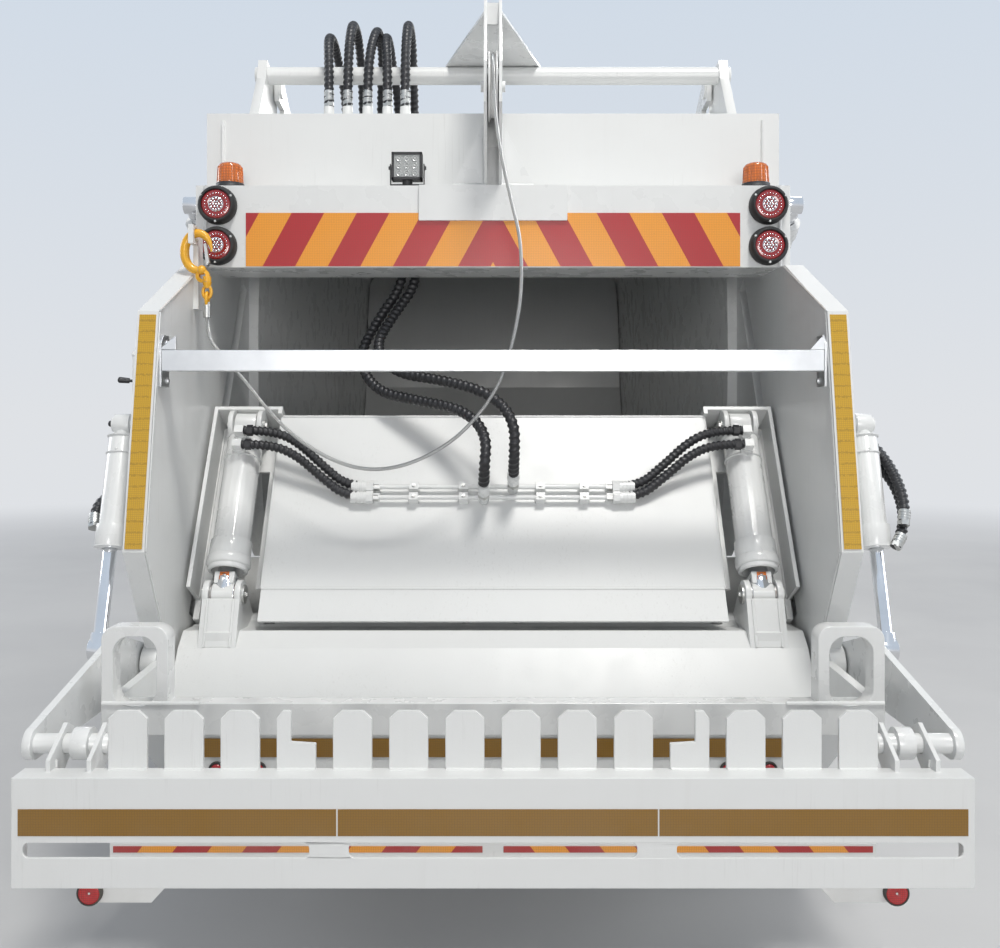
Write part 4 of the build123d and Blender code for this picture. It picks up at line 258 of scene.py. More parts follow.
paint("white paint", (0.77, 0.78, 0.775, 1), streaks=0.07, wear=0.07, dust=0.18, dust_top=0.9)
paint("cab white", (0.79, 0.8, 0.8, 1), gloss=0.12, peel=0.12, streaks=0.08, dust=0.3, dust_top=1.2, coat=0.8)
paint("chassis paint", (0.035, 0.036, 0.04, 1), gloss=0.42, streaks=0, dust=0.55, dust_top=1.4, wear=0.2, coat=0.1)
paint("wheel paint", (0.7, 0.71, 0.71, 1), gloss=0.3, streaks=0.1, dust=0.6, dust_top=1.3, coat=0.3)
paint("engine paint", (0.13, 0.14, 0.15, 1), gloss=0.55, peel=0.9, streaks=0, dust=0.6, dust_top=1.6, coat=0)
paint("hook yellow", (0.83, 0.42, 0.012, 1), gloss=0.3, peel=0.4, streaks=0.15, dust=0.0, wear=0.7, coat=0.3)
paint("tank grey", (0.24, 0.25, 0.26, 1), gloss=0.35, streaks=0.1, dust=0.5, dust_top=1.4, coat=0.2)


def worn_paint(name, color, turn=(0, 0, 0), streaks=0.08, scrapes=0.2):
    """White paint that refuse has scraped to a grey sheen."""
    net, shader = finish_of(name, Coat_Weight=0.15, Coat_Roughness=0.2)
    skin = use(net, "Paint skin", Color=color, Peel=0.3, Streaks=streaks, Gloss=0.3)
    scuff = use(net, "Scuffs", Turn=turn, Amount=scrapes)
    tone = net.mix(scuff["Mask"], skin["Color"], (0.42, 0.41, 0.39, 1))
    tone = net.mix(use(net, "Edge wear", Amount=0.12)["Mask"], tone, (0.3, 0.28, 0.26, 1))
    net.feed(shader["Base Color"], tone)
    net.feed(shader["Roughness"], net.math("ADD", skin["Roughness"], net.math("MULTIPLY", scuff["Mask"], 0.25)))
    net.feed(shader["Normal"], net.bump(scuff["Height"], 0.0004, 0.25, skin["Normal"]))


worn_paint("packer paint", (0.75, 0.76, 0.755, 1), turn=(radians(-30), 0, 0))
worn_paint("tailgate paint", (0.77, 0.78, 0.775, 1))


def moulded(name, color, roughness, size=400.0, strength=0.3, dust=0.3, dust_top=1.2):
    """Rubber or moulded plastic with a pebbled skin and a film of dust."""
    net, shader = finish_of(name)
    shade = net.mix(net.remap(net.noise(6, 4), 0.3, 0.75), color, [min(1, 1.5 * c + 0.01) for c in color[:3]] + [1])
    dusty = use(net, "Road dust", Color=shade, Roughness=roughness, Top=dust_top, Amount=dust)
    net.feed(shader["Base Color"], dusty["Color"])
    net.feed(shader["Roughness"], dusty["Roughness"])
    net.feed(shader["Normal"], use(net, "Grain", Size=size, Strength=strength)["Normal"])


moulded("black plastic", (0.018, 0.018, 0.019, 1), 0.48, 500, 0.25, 0.35)
moulded("cab trim", (0.09, 0.09, 0.095, 1), 0.7, 700, 0.3, 0)
moulded("tyre rubber", (0.016, 0.016, 0.017, 1), 0.78, 300, 0.35, 0.5, 1.0)
moulded("hose rubber", (0.014, 0.014, 0.016, 1), 0.38, 900, 0.15, 0.12)
moulded("gasket rubber", (0.012, 0.012, 0.012, 1), 0.6, 800, 0.2, 0.2)
moulded("seat cloth", (0.05, 0.055, 0.075, 1), 0.92, 1100, 0.7, 0)


def metal(name, color, roughness, rust=0.0, lines=(4, 300, 4), grain=0.25, anisotropic=0.0):
    """Bare metal with drawn lines, smears and a little rust."""
    net, shader = finish_of(name, Anisotropic=anisotropic)
    drawn = net.noise(1.0, 4, 0.6, vector=net.place(lines))
    if rust:
        worn = use(net, "Rust", Color=color, Amount=rust)
        net.feed(shader["Base Color"], worn["Color"])
        net.feed(shader["Metallic"], worn["Metallic"])
        net.feed(shader["Roughness"], net.math("ADD", worn["Roughness"], net.remap(drawn, 0.3, 0.7, -0.08, 0.12)))
    else:
        shader["Metallic"].default_value = 1
        net.feed(shader["Base Color"], net.mix(net.remap(net.noise(8, 5), 0.3, 0.8), color,
                                               [0.82 * c for c in color[:3]] + [1]))
        net.feed(shader["Roughness"], net.remap(drawn, 0.3, 0.7, roughness - 0.06, roughness + 0.1))
    net.feed(shader["Normal"], net.bump(drawn, 0.0002, grain))


metal("rod chrome", (0.82, 0.83, 0.85, 1), 0.1, grain=0.08, lines=(5, 5, 5))
metal("aluminium", (0.75, 0.76, 0.77, 1), 0.35)
metal("zinc steel", (0.6, 0.6, 0.58, 1), 0.36, lines=(60, 60, 60))
metal("bare steel", (0.42, 0.41, 0.4, 1), 0.4, rust=0.35, lines=(20, 20, 20))
metal("wire rope steel", (0.47, 0.47, 0.46, 1), 0.34, lines=(400, 400, 40), grain=0.3)
metal("mirror metal", (0.86, 0.88, 0.9, 1), 0.06, grain=0.02, lines=(2, 2, 2))


def lens(name, color, emit=0.0, clear=0.3, ribs=700.0, strength=0.4):
    """A moulded lamp lens: tinted, coated, with fine optics pressed into it."""
    net, shader = finish_of(name, Roughness=0.14, Coat_Weight=1.0, Coat_Roughness=0.03, IOR=1.49,
                            Transmission_Weight=clear)
    optics = net.add("TexVoronoi", {"feature": "F1"}, Vector=net.place(), Scale=ribs, Randomness=0.0)
    net.feed(shader["Base Color"], net.mix(net.remap(optics.outputs["Distance"], 0.1, 0.6), color,
                                           [0.55 * c for c in color[:3]] + [1]))
    net.feed(shader["Normal"], net.bump(optics.outputs["Distance"], 0.0008, strength))


lens("red lens", (0.5, 0.01, 0.012, 1), clear=0.1, ribs=120)
lens("red reflector", (0.62, 0.012, 0.014, 1), clear=0.05, ribs=170)
lens("amber lens", (0.95, 0.22, 0.006, 1), clear=0.15, ribs=90)
lens("clear lens", (0.8, 0.82, 0.83, 1), clear=0.75, ribs=110)
lens("diode lens", (0.85, 0.87, 0.86, 1), clear=0.2, ribs=160)

net, shader = finish_of("window glass", Roughness=0.02, Transmission_Weight=1.0, IOR=1.45, Metallic=0.0)
smear = net.noise(4, 6, 0.7)
net.feed(shader["Base Color"], net.mix(net.remap(smear, 0.4, 0.8, 0, 0.5), (0.72, 0.8, 0.8, 1), (0.6, 0.66, 0.64, 1)))
net.feed(shader["Normal"], net.bump(net.noise(2.5, 2), 0.0005, 0.1))

stripe_red, stripe_amber = (0.43, 0.008, 0.012, 1), (0.86, 0.33, 0.02, 1)
# the second gold is the same tape darkened as painted shade, for tape that lies in shade
tape_gold, tape_painted_shade = (0.6, 0.35, 0.022, 1), (0.25, 0.125, 0.008, 1)


def sheet_finish(name, pattern=None, color=None):
    """Retroreflective sheet, in one colour or with slanted stripes."""
    net, shader = finish_of(name, Coat_Weight=0.3, Coat_Roughness=0.2)
    tone = color if pattern is None else use(net, "Slanted stripes", First=stripe_red, Second=stripe_amber,
                                             **pattern)["Color"]
    cells = use(net, "Reflective cells", Color=tone, Size=150.0)
    worn = use(net, "Road dust", Color=cells["Color"], Roughness=0.3, Top=0.9, Amount=0.3)
    net.feed(shader["Base Color"], worn["Color"])
    net.feed(shader["Roughness"], worn["Roughness"])
    net.feed(shader["Normal"], cells["Normal"])


sheet_finish("hazard sheet", {"Width": 0.127, "Lean": 0.545})
sheet_finish("underrun sheet", {"Width": 0.1, "Lean": 0.8})
sheet_finish("gold tape", color=tape_gold)
# the gold tape again, darkened as painted shade, for the rear beam and the comb
sheet_finish("gold tape in painted shade", color=tape_painted_shade)


# Mesh pieces
class Shape:
    """A mesh made of simple solids in millimetres, finished as one piece."""

    def __init__(self):
        self.mesh = bmesh.new()

    def box(self, x, y, z, turn=None):
        """A box between two limits on each axis, or about a turned frame given as a matrix."""
        size = Matrix.Diagonal((abs(x[1] - x[0]), abs(y[1] - y[0]), abs(z[1] - z[0]), 1))
        middle = Matrix.Translation([(a + b) / 2 for a, b in (x, y, z)])
        bmesh.ops.create_cube(self.mesh, size=1, matrix=(turn or Matrix()) @ middle @ size)
        return self

    def rod(self, start, end, radius, end_radius=None, sides=24):
        """A round bar or cone between two points."""
        start, end = Vector(start), Vector(end)
        way = (end - start).to_track_quat("Z", "Y").to_matrix().to_4x4()
        bmesh.ops.create_cone(self.mesh, cap_ends=True, segments=sides, radius1=radius,
                              radius2=radius if end_radius is None else end_radius, depth=(end - start).length,
                              matrix=Matrix.Translation((start + end) / 2) @ way)
        return self

    def bolt(self, place, direction, size=10):
        """A hexagon head with its washer, standing on a face."""
        place, out = Vector(place), Vector(direction).normalized()
        self.rod(place - 0.2 * size * out, place + 0.22 * size * out, 1.25 * size, sides=20)
        self.rod(place, place + 0.8 * size * out, size, 0.94 * size, sides=6)
        return self

    def dome(self, place, direction, radius, flatness=0.5, sides=16):
        """A low dome on a face."""
        way = Vector(direction).to_track_quat("Z", "Y").to_matrix().to_4x4()
        bmesh.ops.create_uvsphere(self.mesh, u_segments=sides, v_segments=sides // 2, radius=radius,
                                  matrix=Matrix.Translation(place) @ way @ Matrix.Diagonal((1, 1, flatness, 1)))
        return self

    def turned(self, profile, place, axis, sides=48, close=True):
        """A profile of (distance along axis, radius) turned about an axis through place."""
        way = Matrix.Translation(place) @ Vector(axis).to_track_quat("Z", "Y").to_matrix().to_4x4()
        rings = [[self.mesh.verts.new(way @ Vector((r * cos(2 * pi * i / sides), r * sin(2 * pi * i / sides), h)))
                  for i in range(sides)] for h, r in profile]
        if close:
            rings.append(rings[0])
        self.skin(rings)
        return self

    def skin(self, rings, cap=False):
        """Faces between neighbouring rings of vertices."""
        for a, b in zip(rings, rings[1:]):
            for i in range(len(a)):
                j = (i + 1) % len(a)
                self.mesh.faces.new((a[i], a[j], b[j], b[i]))
        if cap:
            self.mesh.faces.new(rings[0][::-1])
            self.mesh.faces.new(rings[-1])

    def bead(self, start, end, radius=4, out=(0, -1, 0), step=7):
        """A weld bead between two points: a low ridge with the ripple of its passes."""
        start, end, out = Vector(start), Vector(end), Vector(out).normalized()
        way = end - start
        across = way.cross(out).normalized()
        count = max(2, int(way.length / step))
        rows = []
        for i in range(count + 1):
            swell = radius * (1 + 0.16 * (i % 2) + 0.12 * noise.noise(start * 0.009 + way * (i / count) * 0.03))
            middle = start + way * i / count
            rows.append([self.mesh.verts.new(middle + across * swell * 1.5 * cos(a) + out * swell * sin(a))
                         for a in (0, pi / 3, 2 * pi / 3, pi)])
        for a, b in zip(rows, rows[1:]):
            for i in range(3):
                self.mesh.faces.new((a[i], a[i + 1], b[i + 1], b[i]))
            self.mesh.faces.new((a[3], a[0], b[0], b[3]))
        self.mesh.faces.new(rows[0])
        self.mesh.faces.new(rows[-1][::-1])
        return self

    def plate(self, outline, depth, turn=None):
        """A flat plate from an outline of (x, y, z) points, thickened by a vector."""
        spots = [(turn @ Vector(p)) if turn else Vector(p) for p in outline]
        low = [self.mesh.verts.new(p) for p in spots]
        high = [self.mesh.verts.new(p + Vector(depth)) for p in spots]
        self.mesh.faces.new(low[::-1])
        self.mesh.faces.new(high)
        for i in range(len(low)):
            j = (i + 1) % len(low)
            self.mesh.faces.new((low[i], low[j], high[j], high[i]))
        return self

    def piece(self, name, body, finish, slot, bevel=0.0, smooth=40, replaces=(), segments=2):
        """Closes the mesh, drawn in millimetres, as one named piece in metres that rides on a body."""
        bmesh.ops.scale(self.mesh, vec=(mm, mm, mm), verts=self.mesh.verts)
        bmesh.ops.recalc_face_normals(self.mesh, faces=self.mesh.faces)
        data = bpy.data.meshes.new(name)
        self.mesh.to_mesh(data)
        self.mesh.free()
        data.materials.append(finishes[finish])
        return settle(bpy.data.objects.new(name, data), body, bevel, smooth, replaces, segments)


def settle(piece, body, bevel=0.0, smooth=40, replaces=(), segments=2):
    """Links a piece, rounds its edges, gives it its body and hides the nodes it replaces."""
    bpy.context.scene.collection.objects.link(piece)
    if piece.type == "MESH":
        piece.data.shade_smooth()
        piece.data.set_sharp_from_angle(angle=radians(smooth))
    if bevel:
        round_edges(piece, bevel * mm, segments)
    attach(piece, body)
    if replaces:
        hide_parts(*replaces)
    return piece


def round_edges(piece, width, segments=2):
    edges = piece.modifiers.new("rounded edges", "BEVEL")
    edges.width, edges.segments = width, segments
    edges.limit_method, edges.angle_limit = "ANGLE", radians(38)
    edges.harden_normals = True
    edges.use_clamp_overlap = True


# CAD nodes: finish and rounded edges
# columns: finish, edge radius in millimetres, nodes
dressings = [
    ("white paint", 3, ["body_shell", "light_bar", "winch_mast", "hopper_sill", "rear_beam", "lifter_arms"]),
    ("tailgate paint", 4, ["tailgate_shell"]),
    ("packer paint", 4, ["carrier_panel", "sweep_blade", "comb_beam", "ejector_panel"]),
    ("white paint", 2, ["sweep_barrels", "lift_barrels", "lifter_barrels", "carrier_pipes"]),
    ("cab white", 6, ["cab_shell", "door_left", "door_right", "front_bumper"]),
    ("chassis paint", 2, ["chassis_frame", "leaf_springs", "front_axle", "rear_axle", "knuckle_left",
                          "knuckle_right"]),
    ("wheel paint", 2, ["front_wheel_left", "front_wheel_right", "rear_wheels_left", "rear_wheels_right"]),
    ("engine paint", 6, ["engine_block"]),
    ("tank grey", 8, ["chassis_boxes"]),
    ("black plastic", 4, ["guards", "mirrors", "cab_grille", "control_box", "tail_lamp_rings", "work_lamp"]),
    ("cab trim", 8, ["cab_interior"]),
    ("aluminium", 2, ["grab_bar"]),
    ("rod chrome", 1, ["sweep_rods", "lift_rods", "lifter_rods"]),
    ("red lens", 1, ["tail_lamp_lenses"]),
    ("amber lens", 3, ["beacons"]),
    ("clear lens", 3, ["headlamps"]),
    ("window glass", 0, ["cab_glass", "door_glass_left", "door_glass_right"]),
    ("hazard sheet", 0, ["hazard_board"]),
    ("hook yellow", 2, ["rope_hook"]),
    ("wire rope steel", 0, ["lift_rope"]),
    ("hose rubber", 0, ["feed_hoses", "cylinder_hoses", "roof_hoses"]),
    ("tyre rubber", 0, ["front_tyre_left", "front_tyre_right", "rear_tyres_left", "rear_tyres_right"]),
]
for finish, radius, names in dressings:
    for name in names:
        node = nodes[name]
        node.data.materials.clear()
        node.data.materials.append(finishes[finish])
        if radius:
            weld = node.modifiers.new("joined corners", "WELD")
            weld.merge_threshold = 0.00005
            round_edges(node, radius * mm)

# Cords
def ring_of(middle, along, side, radius, sides, turn=0.0):
    """A ring of points square to a line."""
    other = along.cross(side).normalized()
    return [middle + radius * (cos(2 * pi * i / sides + turn) * side + sin(2 * pi * i / sides + turn) * other)
            for i in range(sides)]


def route_of(name, points):
    """The smooth line of a cord, as close points read from the NURBS curve of its route, in millimetres."""
    curve = bpy.data.curves.new(name, "CURVE")
    curve.dimensions = "3D"
    spline = curve.splines.new("NURBS")
    spline.points.add(len(points) - 1)
    for target, p in zip(spline.points, points):
        target.co = (*p, 1)
    spline.order_u = 3
    spline.use_endpoint_u = True
    spline.resolution_u = 24
    carrier = bpy.data.objects.new(name, curve)
    bpy.context.scene.collection.objects.link(carrier)
    bpy.context.view_layer.update()
    line = bpy.data.meshes.new_from_object(carrier)
    spots = [v.co.copy() for v in line.vertices]
    bpy.data.objects.remove(carrier)
    bpy.data.meshes.remove(line)
    return spots


def even(spots, step):
    """The same line with its points a fixed step apart."""
    made, left = [spots[0].copy()], step
    for a, b in zip(spots, spots[1:]):
        span = (b - a).length
        at = left
        while at <= span:
            made.append(a.lerp(b, at / span))
            at += step
        left = at - span
    if (made[-1] - spots[-1]).length > 0.3 * step:
        made.append(spots[-1].copy())
    return made


def frames_along(spots):
    """Direction and a side that doesn't twist, at each point of a line."""
    side = None
    for i, p in enumerate(spots):
        ahead, behind = spots[min(i + 1, len(spots) - 1)], spots[max(i - 1, 0)]
        along = (ahead - behind).normalized()
        if side is None:
            side = along.orthogonal().normalized()
        side = (side - along * side.dot(along)).normalized()
        yield p, along, side


def wrapped_hose(shape, spots, radius, pitch=24, rise=2.8, sides=14):
    """A hose under a spiral guard: a ridge that climbs once round in every pitch."""
    rings, at, last = [], 0.0, None
    for p, along, side in frames_along(even(spots, pitch / 5)):
        at += (p - last).length if last else 0
        last = p
        ring = []
        for i, q in enumerate(ring_of(p, along, side, 1.0, sides)):
            phase = (at / pitch - i / sides) % 1
            ridge = max(0, sin(2 * pi * phase)) ** 0.5
            ring.append(shape.mesh.verts.new(p + (q - p) * (radius - rise + rise * ridge)))
        rings.append(ring)
    shape.skin(rings, cap=True)
    return shape


def laid_rope(shape, spots, radius, strands=6, pitch=62, sides=7):
    """Strands laid round a core."""
    strand = radius * 0.36
    line = list(frames_along(even(spots, pitch / 8)))
    for k in range(strands):
        rings, at, last = [], 0.0, None
        for p, along, side in line:
            at += (p - last).length if last else 0
            last = p
            middle = ring_of(p, along, side, radius - strand, strands, 2 * pi * at / pitch)[k]
            rings.append([shape.mesh.verts.new(q) for q in ring_of(middle, along, side, strand, sides)])
        shape.skin(rings, cap=True)
    return shape


def ferrule(shape, at, along, radius, length=50):
    """A crimped sleeve and hexagon nut on a hose's end."""
    at, along = Vector(at), Vector(along).normalized()
    shape.rod(at, at + along * length * 0.32, radius * 1.28, sides=6)
    shape.rod(at + along * length * 0.3, at + along * length, radius * 1.16, sides=24)
    for share in (0.45, 0.62, 0.8):
        shape.rod(at + along * length * share, at + along * length * (share + 0.09), radius * 1.24, sides=24)
    return shape

# The truck's own sizes, in millimetres, as the CAD source has them
bar_rear_y, bar_top_z, bar_bottom_z = -2700, 2630, 2310
cheek_inner, cheek_outer = 1120, 1190
cheek_rear = [(-2760, bar_bottom_z), (-3250, 2080), (-3390, 1290), (-3160, 900)]
sill_rear_y, sill_z = -3666, 884
beam_rear_y, beam_top_z = -4100, 820
blade_hinge_y, blade_hinge_z, slide_angle = -2830, 930, radians(60)
cylinder_x, lift_cylinder_x = 970, 1262
front_axle_y, rear_axle_y, axle_z = 2770, -1350, 505
front_y = 4100
cab_half, cab_front_y, cab_rear_y = 1150, 4050, 2160
cab_corner_r, screen_foot_z = 160, 1790
hose_r, branch_r, loop_r, rope_r = 19, 14, 17, 7
pipe_t, pipe_rows, clamp_xs = 241, (430, 474), (-300, -112, 180, 345)
sides = (-1, 1)


def on_slide(s, t):
    """(y, z) of a point s up the packer slide and t out towards the loader."""
    return (blade_hinge_y + s * cos(slide_angle) - t * sin(slide_angle),
            blade_hinge_z + s * sin(slide_angle) + t * cos(slide_angle))


slide_out = (0, -sin(slide_angle), cos(slide_angle))

# Winch rope and hook
rope_top_z, rope_out_y = 3085.3, -2970.3
rope_route = [
    (0, -2775, rope_top_z), (0, rope_out_y, rope_top_z), (3, rope_out_y - 1, 2880), (26, -2974, 2690),
    (70, -2980, 2492), (97, -2990, 2386), (104, -3000, 2248), (96, -3002, 2118), (65, -3000, 1971),
    (22, -2996, 1841), (-50, -2998, 1733), (-151, -3003, 1632), (-300, -3006, 1553), (-443, -3004, 1531),
    (-580, -2998, 1567), (-724, -2984, 1657), (-828, -2966, 1762), (-906, -2948, 1860), (-1004, -2918, 1962),
    (-1062, -2885, 2030), (-1062, -2885, 2112)]
rope_line = route_of("rope route", rope_route)
rope = laid_rope(Shape(), rope_line, rope_r).piece("winch_rope", "tailgate", "wire rope steel", "wire_rope",
                                                   smooth=60, replaces=["lift_rope"])

# Hook: drawn as one bent bar whose thickness swells at its back, with an eye, latch, pin and swivel
hook_x, hook_y, hook_z = -1094, -2885, 2338
hook = Shape()
rings = []
steps = 44
for i in range(steps + 1):
    turn = radians(-112 + 292 * i / steps)
    swell = 0.55 + 0.45 * sin(pi * min(1, 0.12 + 0.88 * i / steps)) ** 0.7
    if i > steps - 8:
        swell *= 0.35 + 0.65 * (steps - i) / 8
    middle = Vector((hook_x - 2 - 51 * cos(turn) * 0.98, hook_y, hook_z + 2 + 69 * sin(turn)))
    along = Vector((51 * sin(turn), 0, 69 * cos(turn))).normalized()
    rings.append([hook.mesh.verts.new(q) for q in ring_of(middle, along, Vector((0, 1, 0)), 17 * swell, 16)])
hook.skin(rings, cap=True)
bmesh.ops.create_uvsphere(hook.mesh, u_segments=16, v_segments=8, radius=18,
                          matrix=Matrix.Translation((hook_x + 12, hook_y, hook_z - 66)))
hook.turned([(-11, 12), (-6, 26), (6, 26), (11, 12)], (hook_x + 16, hook_y, hook_z - 88), (0, 1, 0), 32)
hook.rod((-1062, hook_y, 2226), (-1062, hook_y, 2248), 15, sides=20)
hook.rod((-1062, hook_y, 2205), (-1062, hook_y, 2228), 12, 17, sides=20)
for height, tilt in ((2196, 0), (2170, 90)):
    link = []
    for i in range(28):
        a = 2 * pi * i / 28
        across, up = 15 * cos(a), 24 * sin(a)
        middle = Vector((-1062 + (across if not tilt else 0), hook_y + (across if tilt else 0), height + up - 6))
        way = Vector((-15 * sin(a) if not tilt else 0, -15 * sin(a) if tilt else 0, 24 * cos(a))).normalized()
        flat = Vector((0, 1, 0)) if not tilt else Vector((1, 0, 0))
        link.append([hook.mesh.verts.new(q) for q in ring_of(middle, way, flat, 6.2, 10)])
    hook.skin(link + [link[0]])
hook.piece("lift_hook", "tailgate", "hook yellow", "hook_yellow", smooth=60, replaces=["rope_hook"])
latch = Shape()
latch.plate([(hook_x + 30, hook_y - 9, hook_z - 52), (hook_x + 42, hook_y - 9, hook_z - 40),
             (hook_x + 30, hook_y - 9, hook_z + 34), (hook_x + 20, hook_y - 9, hook_z + 30)], (0, 18, 0))
latch.rod((hook_x + 34, hook_y - 14, hook_z - 46), (hook_x + 34, hook_y + 14, hook_z - 46), 5, sides=12)
latch.piece("hook_latch", "tailgate", "zinc steel", "wire_rope", bevel=1.5)
sleeve = Shape()
for low, high, r in ((2095, 2152, 13.5), (2106, 2112, 15), (2136, 2142, 15)):
    sleeve.rod((-1062, hook_y, low), (-1062, hook_y, high), r, sides=24)
rope_sleeve = sleeve.piece("rope_sleeve", "tailgate", "zinc steel", "wire_rope", bevel=1)

# Hydraulic hoses: each is a spiral-guarded tube between two crimped ends
feed_x, feed_y, feed_z = -340, -2390, 2440
fitting_ends = [(-34, *on_slide(430, 285)), (76, *on_slide(474, 285))]
feed_routes = [
    [(feed_x - 28, feed_y, feed_z), (feed_x - 28, feed_y, 2300), (-480, -2440, 2130), (-550, -2530, 1970),
     (-470, -2640, 1830), (-290, -2740, 1790), (-110, -2860, 1755), (-20, -2960, 1665),
     (-34, *on_slide(430, 441)), fitting_ends[0]],
    [(feed_x + 28, feed_y, feed_z), (feed_x + 28, feed_y, 2300), (-410, -2460, 2150), (-480, -2570, 2010),
     (-390, -2690, 1900), (-200, -2790, 1868), (-20, -2890, 1820), (80, -2980, 1720),
     (76, *on_slide(474, 441)), fitting_ends[1]]]


def hose(name, route, radius, body, across=None, replaces=(), pitch=24, guard=2.5):
    """A hose between two fittings; where across is given, the piece loses its parent and its transform is baked, and
    the bodies and points across names are not used.
    """
    line = route_of(name + " route", route)
    piece = wrapped_hose(Shape(), line, radius + guard, pitch, rise=4.2)
    data_piece = piece.piece(name, body, "hose rubber", "hose_rubber", smooth=75, replaces=replaces)
    if across:
        data_piece.parent = None
        first, second, start, end = across
        [v * mm for v in start]
        [v * mm for v in end]
        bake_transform(data_piece)
    [v * mm for v in route[0]]
    return data_piece


for i, route in enumerate(feed_routes):
    hose(f"feed_hose_{i + 1}", route, hose_r, "tailgate",
         across=("tailgate", "carrier", (0, -2440, 2130), route[-3]), replaces=["feed_hoses"] if i == 0 else ())
ends = Shape()
for route in feed_routes:
    ferrule(ends, Vector(route[0]) + Vector((0, 0, 8)), (0, 0, -1), hose_r, 70)
ends.piece("feed_hose_ends", "tailgate", "zinc steel", "aluminium", bevel=0.8)
ends = Shape()
for route in feed_routes:
    ferrule(ends, Vector(route[-1]), Vector(route[-2]) - Vector(route[-1]), hose_r, 66)

port_levels, port_t, sweep_anchor_t = (612, 672), 326, 222
elbows, hexes = Shape(), Shape()
first_hose = True
for side in sides:
    for s, port in zip(pipe_rows, port_levels):
        drop = port - s
        route = [(side * 452.3, *on_slide(s, pipe_t)), (side * 550, *on_slide(s, pipe_t)),
                 (side * 650, *on_slide(s + 0.4 * drop, pipe_t + 24)),
                 (side * 750, *on_slide(s + 0.8 * drop, port_t - 8)),
                 (side * 850, *on_slide(port, port_t)), (side * (cylinder_x - 17.3), *on_slide(port, port_t))]
        label = ("left" if side < 0 else "right") + ("_lower" if s == pipe_rows[0] else "_upper")
        hose(f"cylinder_hose_{label}", route, branch_r, "carrier",
             replaces=["cylinder_hoses"] if first_hose else (), pitch=19, guard=5)
        first_hose = False
        ferrule(ends, route[0], (side, 0, 0), branch_r + 5, 84)
        # black elbow from the port round to the hose, on a white hexagon
        seat_t, bend = sweep_anchor_t + 74, []
        for k in range(9):
            a = radians(90 * k / 8)
            bend.append(Vector((side * (cylinder_x - 30 + 30 * cos(a)), *on_slide(port, port_t - 30 + 30 * sin(a)))))
        bend.append(Vector((side * (cylinder_x - 104), *on_slide(port, port_t))))
        rings = []
        for p, way, flank in frames_along([Vector((side * cylinder_x, *on_slide(port, seat_t)))] + bend):
            rings.append([elbows.mesh.verts.new(q) for q in ring_of(p, way, flank, 19.5, 20)])
        elbows.skin(rings, cap=True)
        elbows.rod(bend[-2], bend[-2].lerp(bend[-1], 0.3), 22, sides=6)
        hexes.rod((side * cylinder_x, *on_slide(port, sweep_anchor_t + 60)),
                  (side * cylinder_x, *on_slide(port, seat_t + 10)), 27, sides=6)
ends.piece("carrier_hose_ends", "carrier", "white paint", "white_paint", bevel=0.8)
elbows.piece("port_elbows", "sweep_barrels", "hose rubber", "hose_rubber", bevel=0.8, smooth=50,)
hexes.piece("port_hexagons", "sweep_barrels", "white paint", "white_paint", bevel=1)

loop_places = (-700, -620, -535, -450, -375)
roof_ends, body_ends = Shape(), Shape()
for i, x in enumerate(loop_places):
    rise, lean = 3430 + 28 * ((i * 2) % 3), 22 * ((i % 3) - 1)
    route = [(x, -1820, 3076), (x, -1820, 3240), (x + lean, -1940, rise - 40), (x + lean, -2070, rise),
             (x + lean, -2210, rise - 30), (x, -2330, 3240), (x, -2330, 3050)]
    hose(f"roof_hose_{i + 1}", route, loop_r, "chassis",
         across=("chassis", "tailgate", (0, -1900, 3300), (0, -2250, 3300)),
         replaces=["roof_hoses"] if i == 0 else (), pitch=26, guard=5)
    ferrule(body_ends, route[0], (0, 0, 1), loop_r, 70)
    ferrule(roof_ends, route[-1], (0, 0, 1), loop_r, 70)
body_ends.piece("roof_hose_front_ends", "chassis", "zinc steel", "aluminium", bevel=0.8)
roof_ends.piece("roof_hose_rear_ends", "tailgate", "zinc steel", "aluminium", bevel=0.8)

# hoses of the lifter cylinders, down the outside of each cheek to the barrels
side_ends = Shape()
side_routes = {
    "lifter_hose_right_1": [(1192, -3060, 1660), (1240, -3085, 1668), (1306, -3140, 1640), (1342, -3220, 1560),
                            (1352, -3290, 1480), (1346, -3330, 1420), (1336, -3345, 1372)],
    "lifter_hose_right_2": [(1192, -3010, 1600), (1236, -3050, 1612), (1300, -3120, 1590), (1350, -3210, 1520),
                            (1362, -3280, 1430), (1340, -3335, 1350), (1306, -3352, 1300)],
    "lifter_hose_left_1": [(-1192, -3060, 1470), (-1240, -3090, 1478), (-1300, -3140, 1466), (-1332, -3200, 1440),
                           (-1334, -3250, 1400), (-1324, -3282, 1356)]}
port_ends = Shape()
for name, route in side_routes.items():
    hose(name, route, 15, "tailgate", across=("tailgate", "lifter_barrels", route[1], route[-2]),
         pitch=20, guard=4)
    ferrule(side_ends, route[0], Vector(route[1]) - Vector(route[0]), 16, 44)
    ferrule(port_ends, route[-1], Vector(route[-2]) - Vector(route[-1]), 16, 52)
port_ends.piece("lifter_port_ends", "lifter_barrels", "zinc steel", "aluminium", bevel=0.8)
side_ends.piece("lifter_hose_ends", "tailgate", "zinc steel", "aluminium", bevel=0.8)

# Tyres: tread blocks, sipes, sidewall bands and beads
# one side of the section: distance from the tyre's middle, radius
crown_and_wall = [(0, 505), (24, 505), (27, 493), (36, 493), (39, 505), (62, 504), (65, 492), (74, 492), (77, 503),
                  (104, 498), (118, 487), (126, 470), (131, 440), (134, 424), (134.6, 420), (132.5, 416), (135, 398),
                  (133, 372), (131, 369), (129.5, 362), (121, 330), (113, 308), (109, 305), (107, 296), (105, 287)]
lining = [(82, 287), (96, 330), (104, 381), (98, 440), (60, 458), (0, 459)]


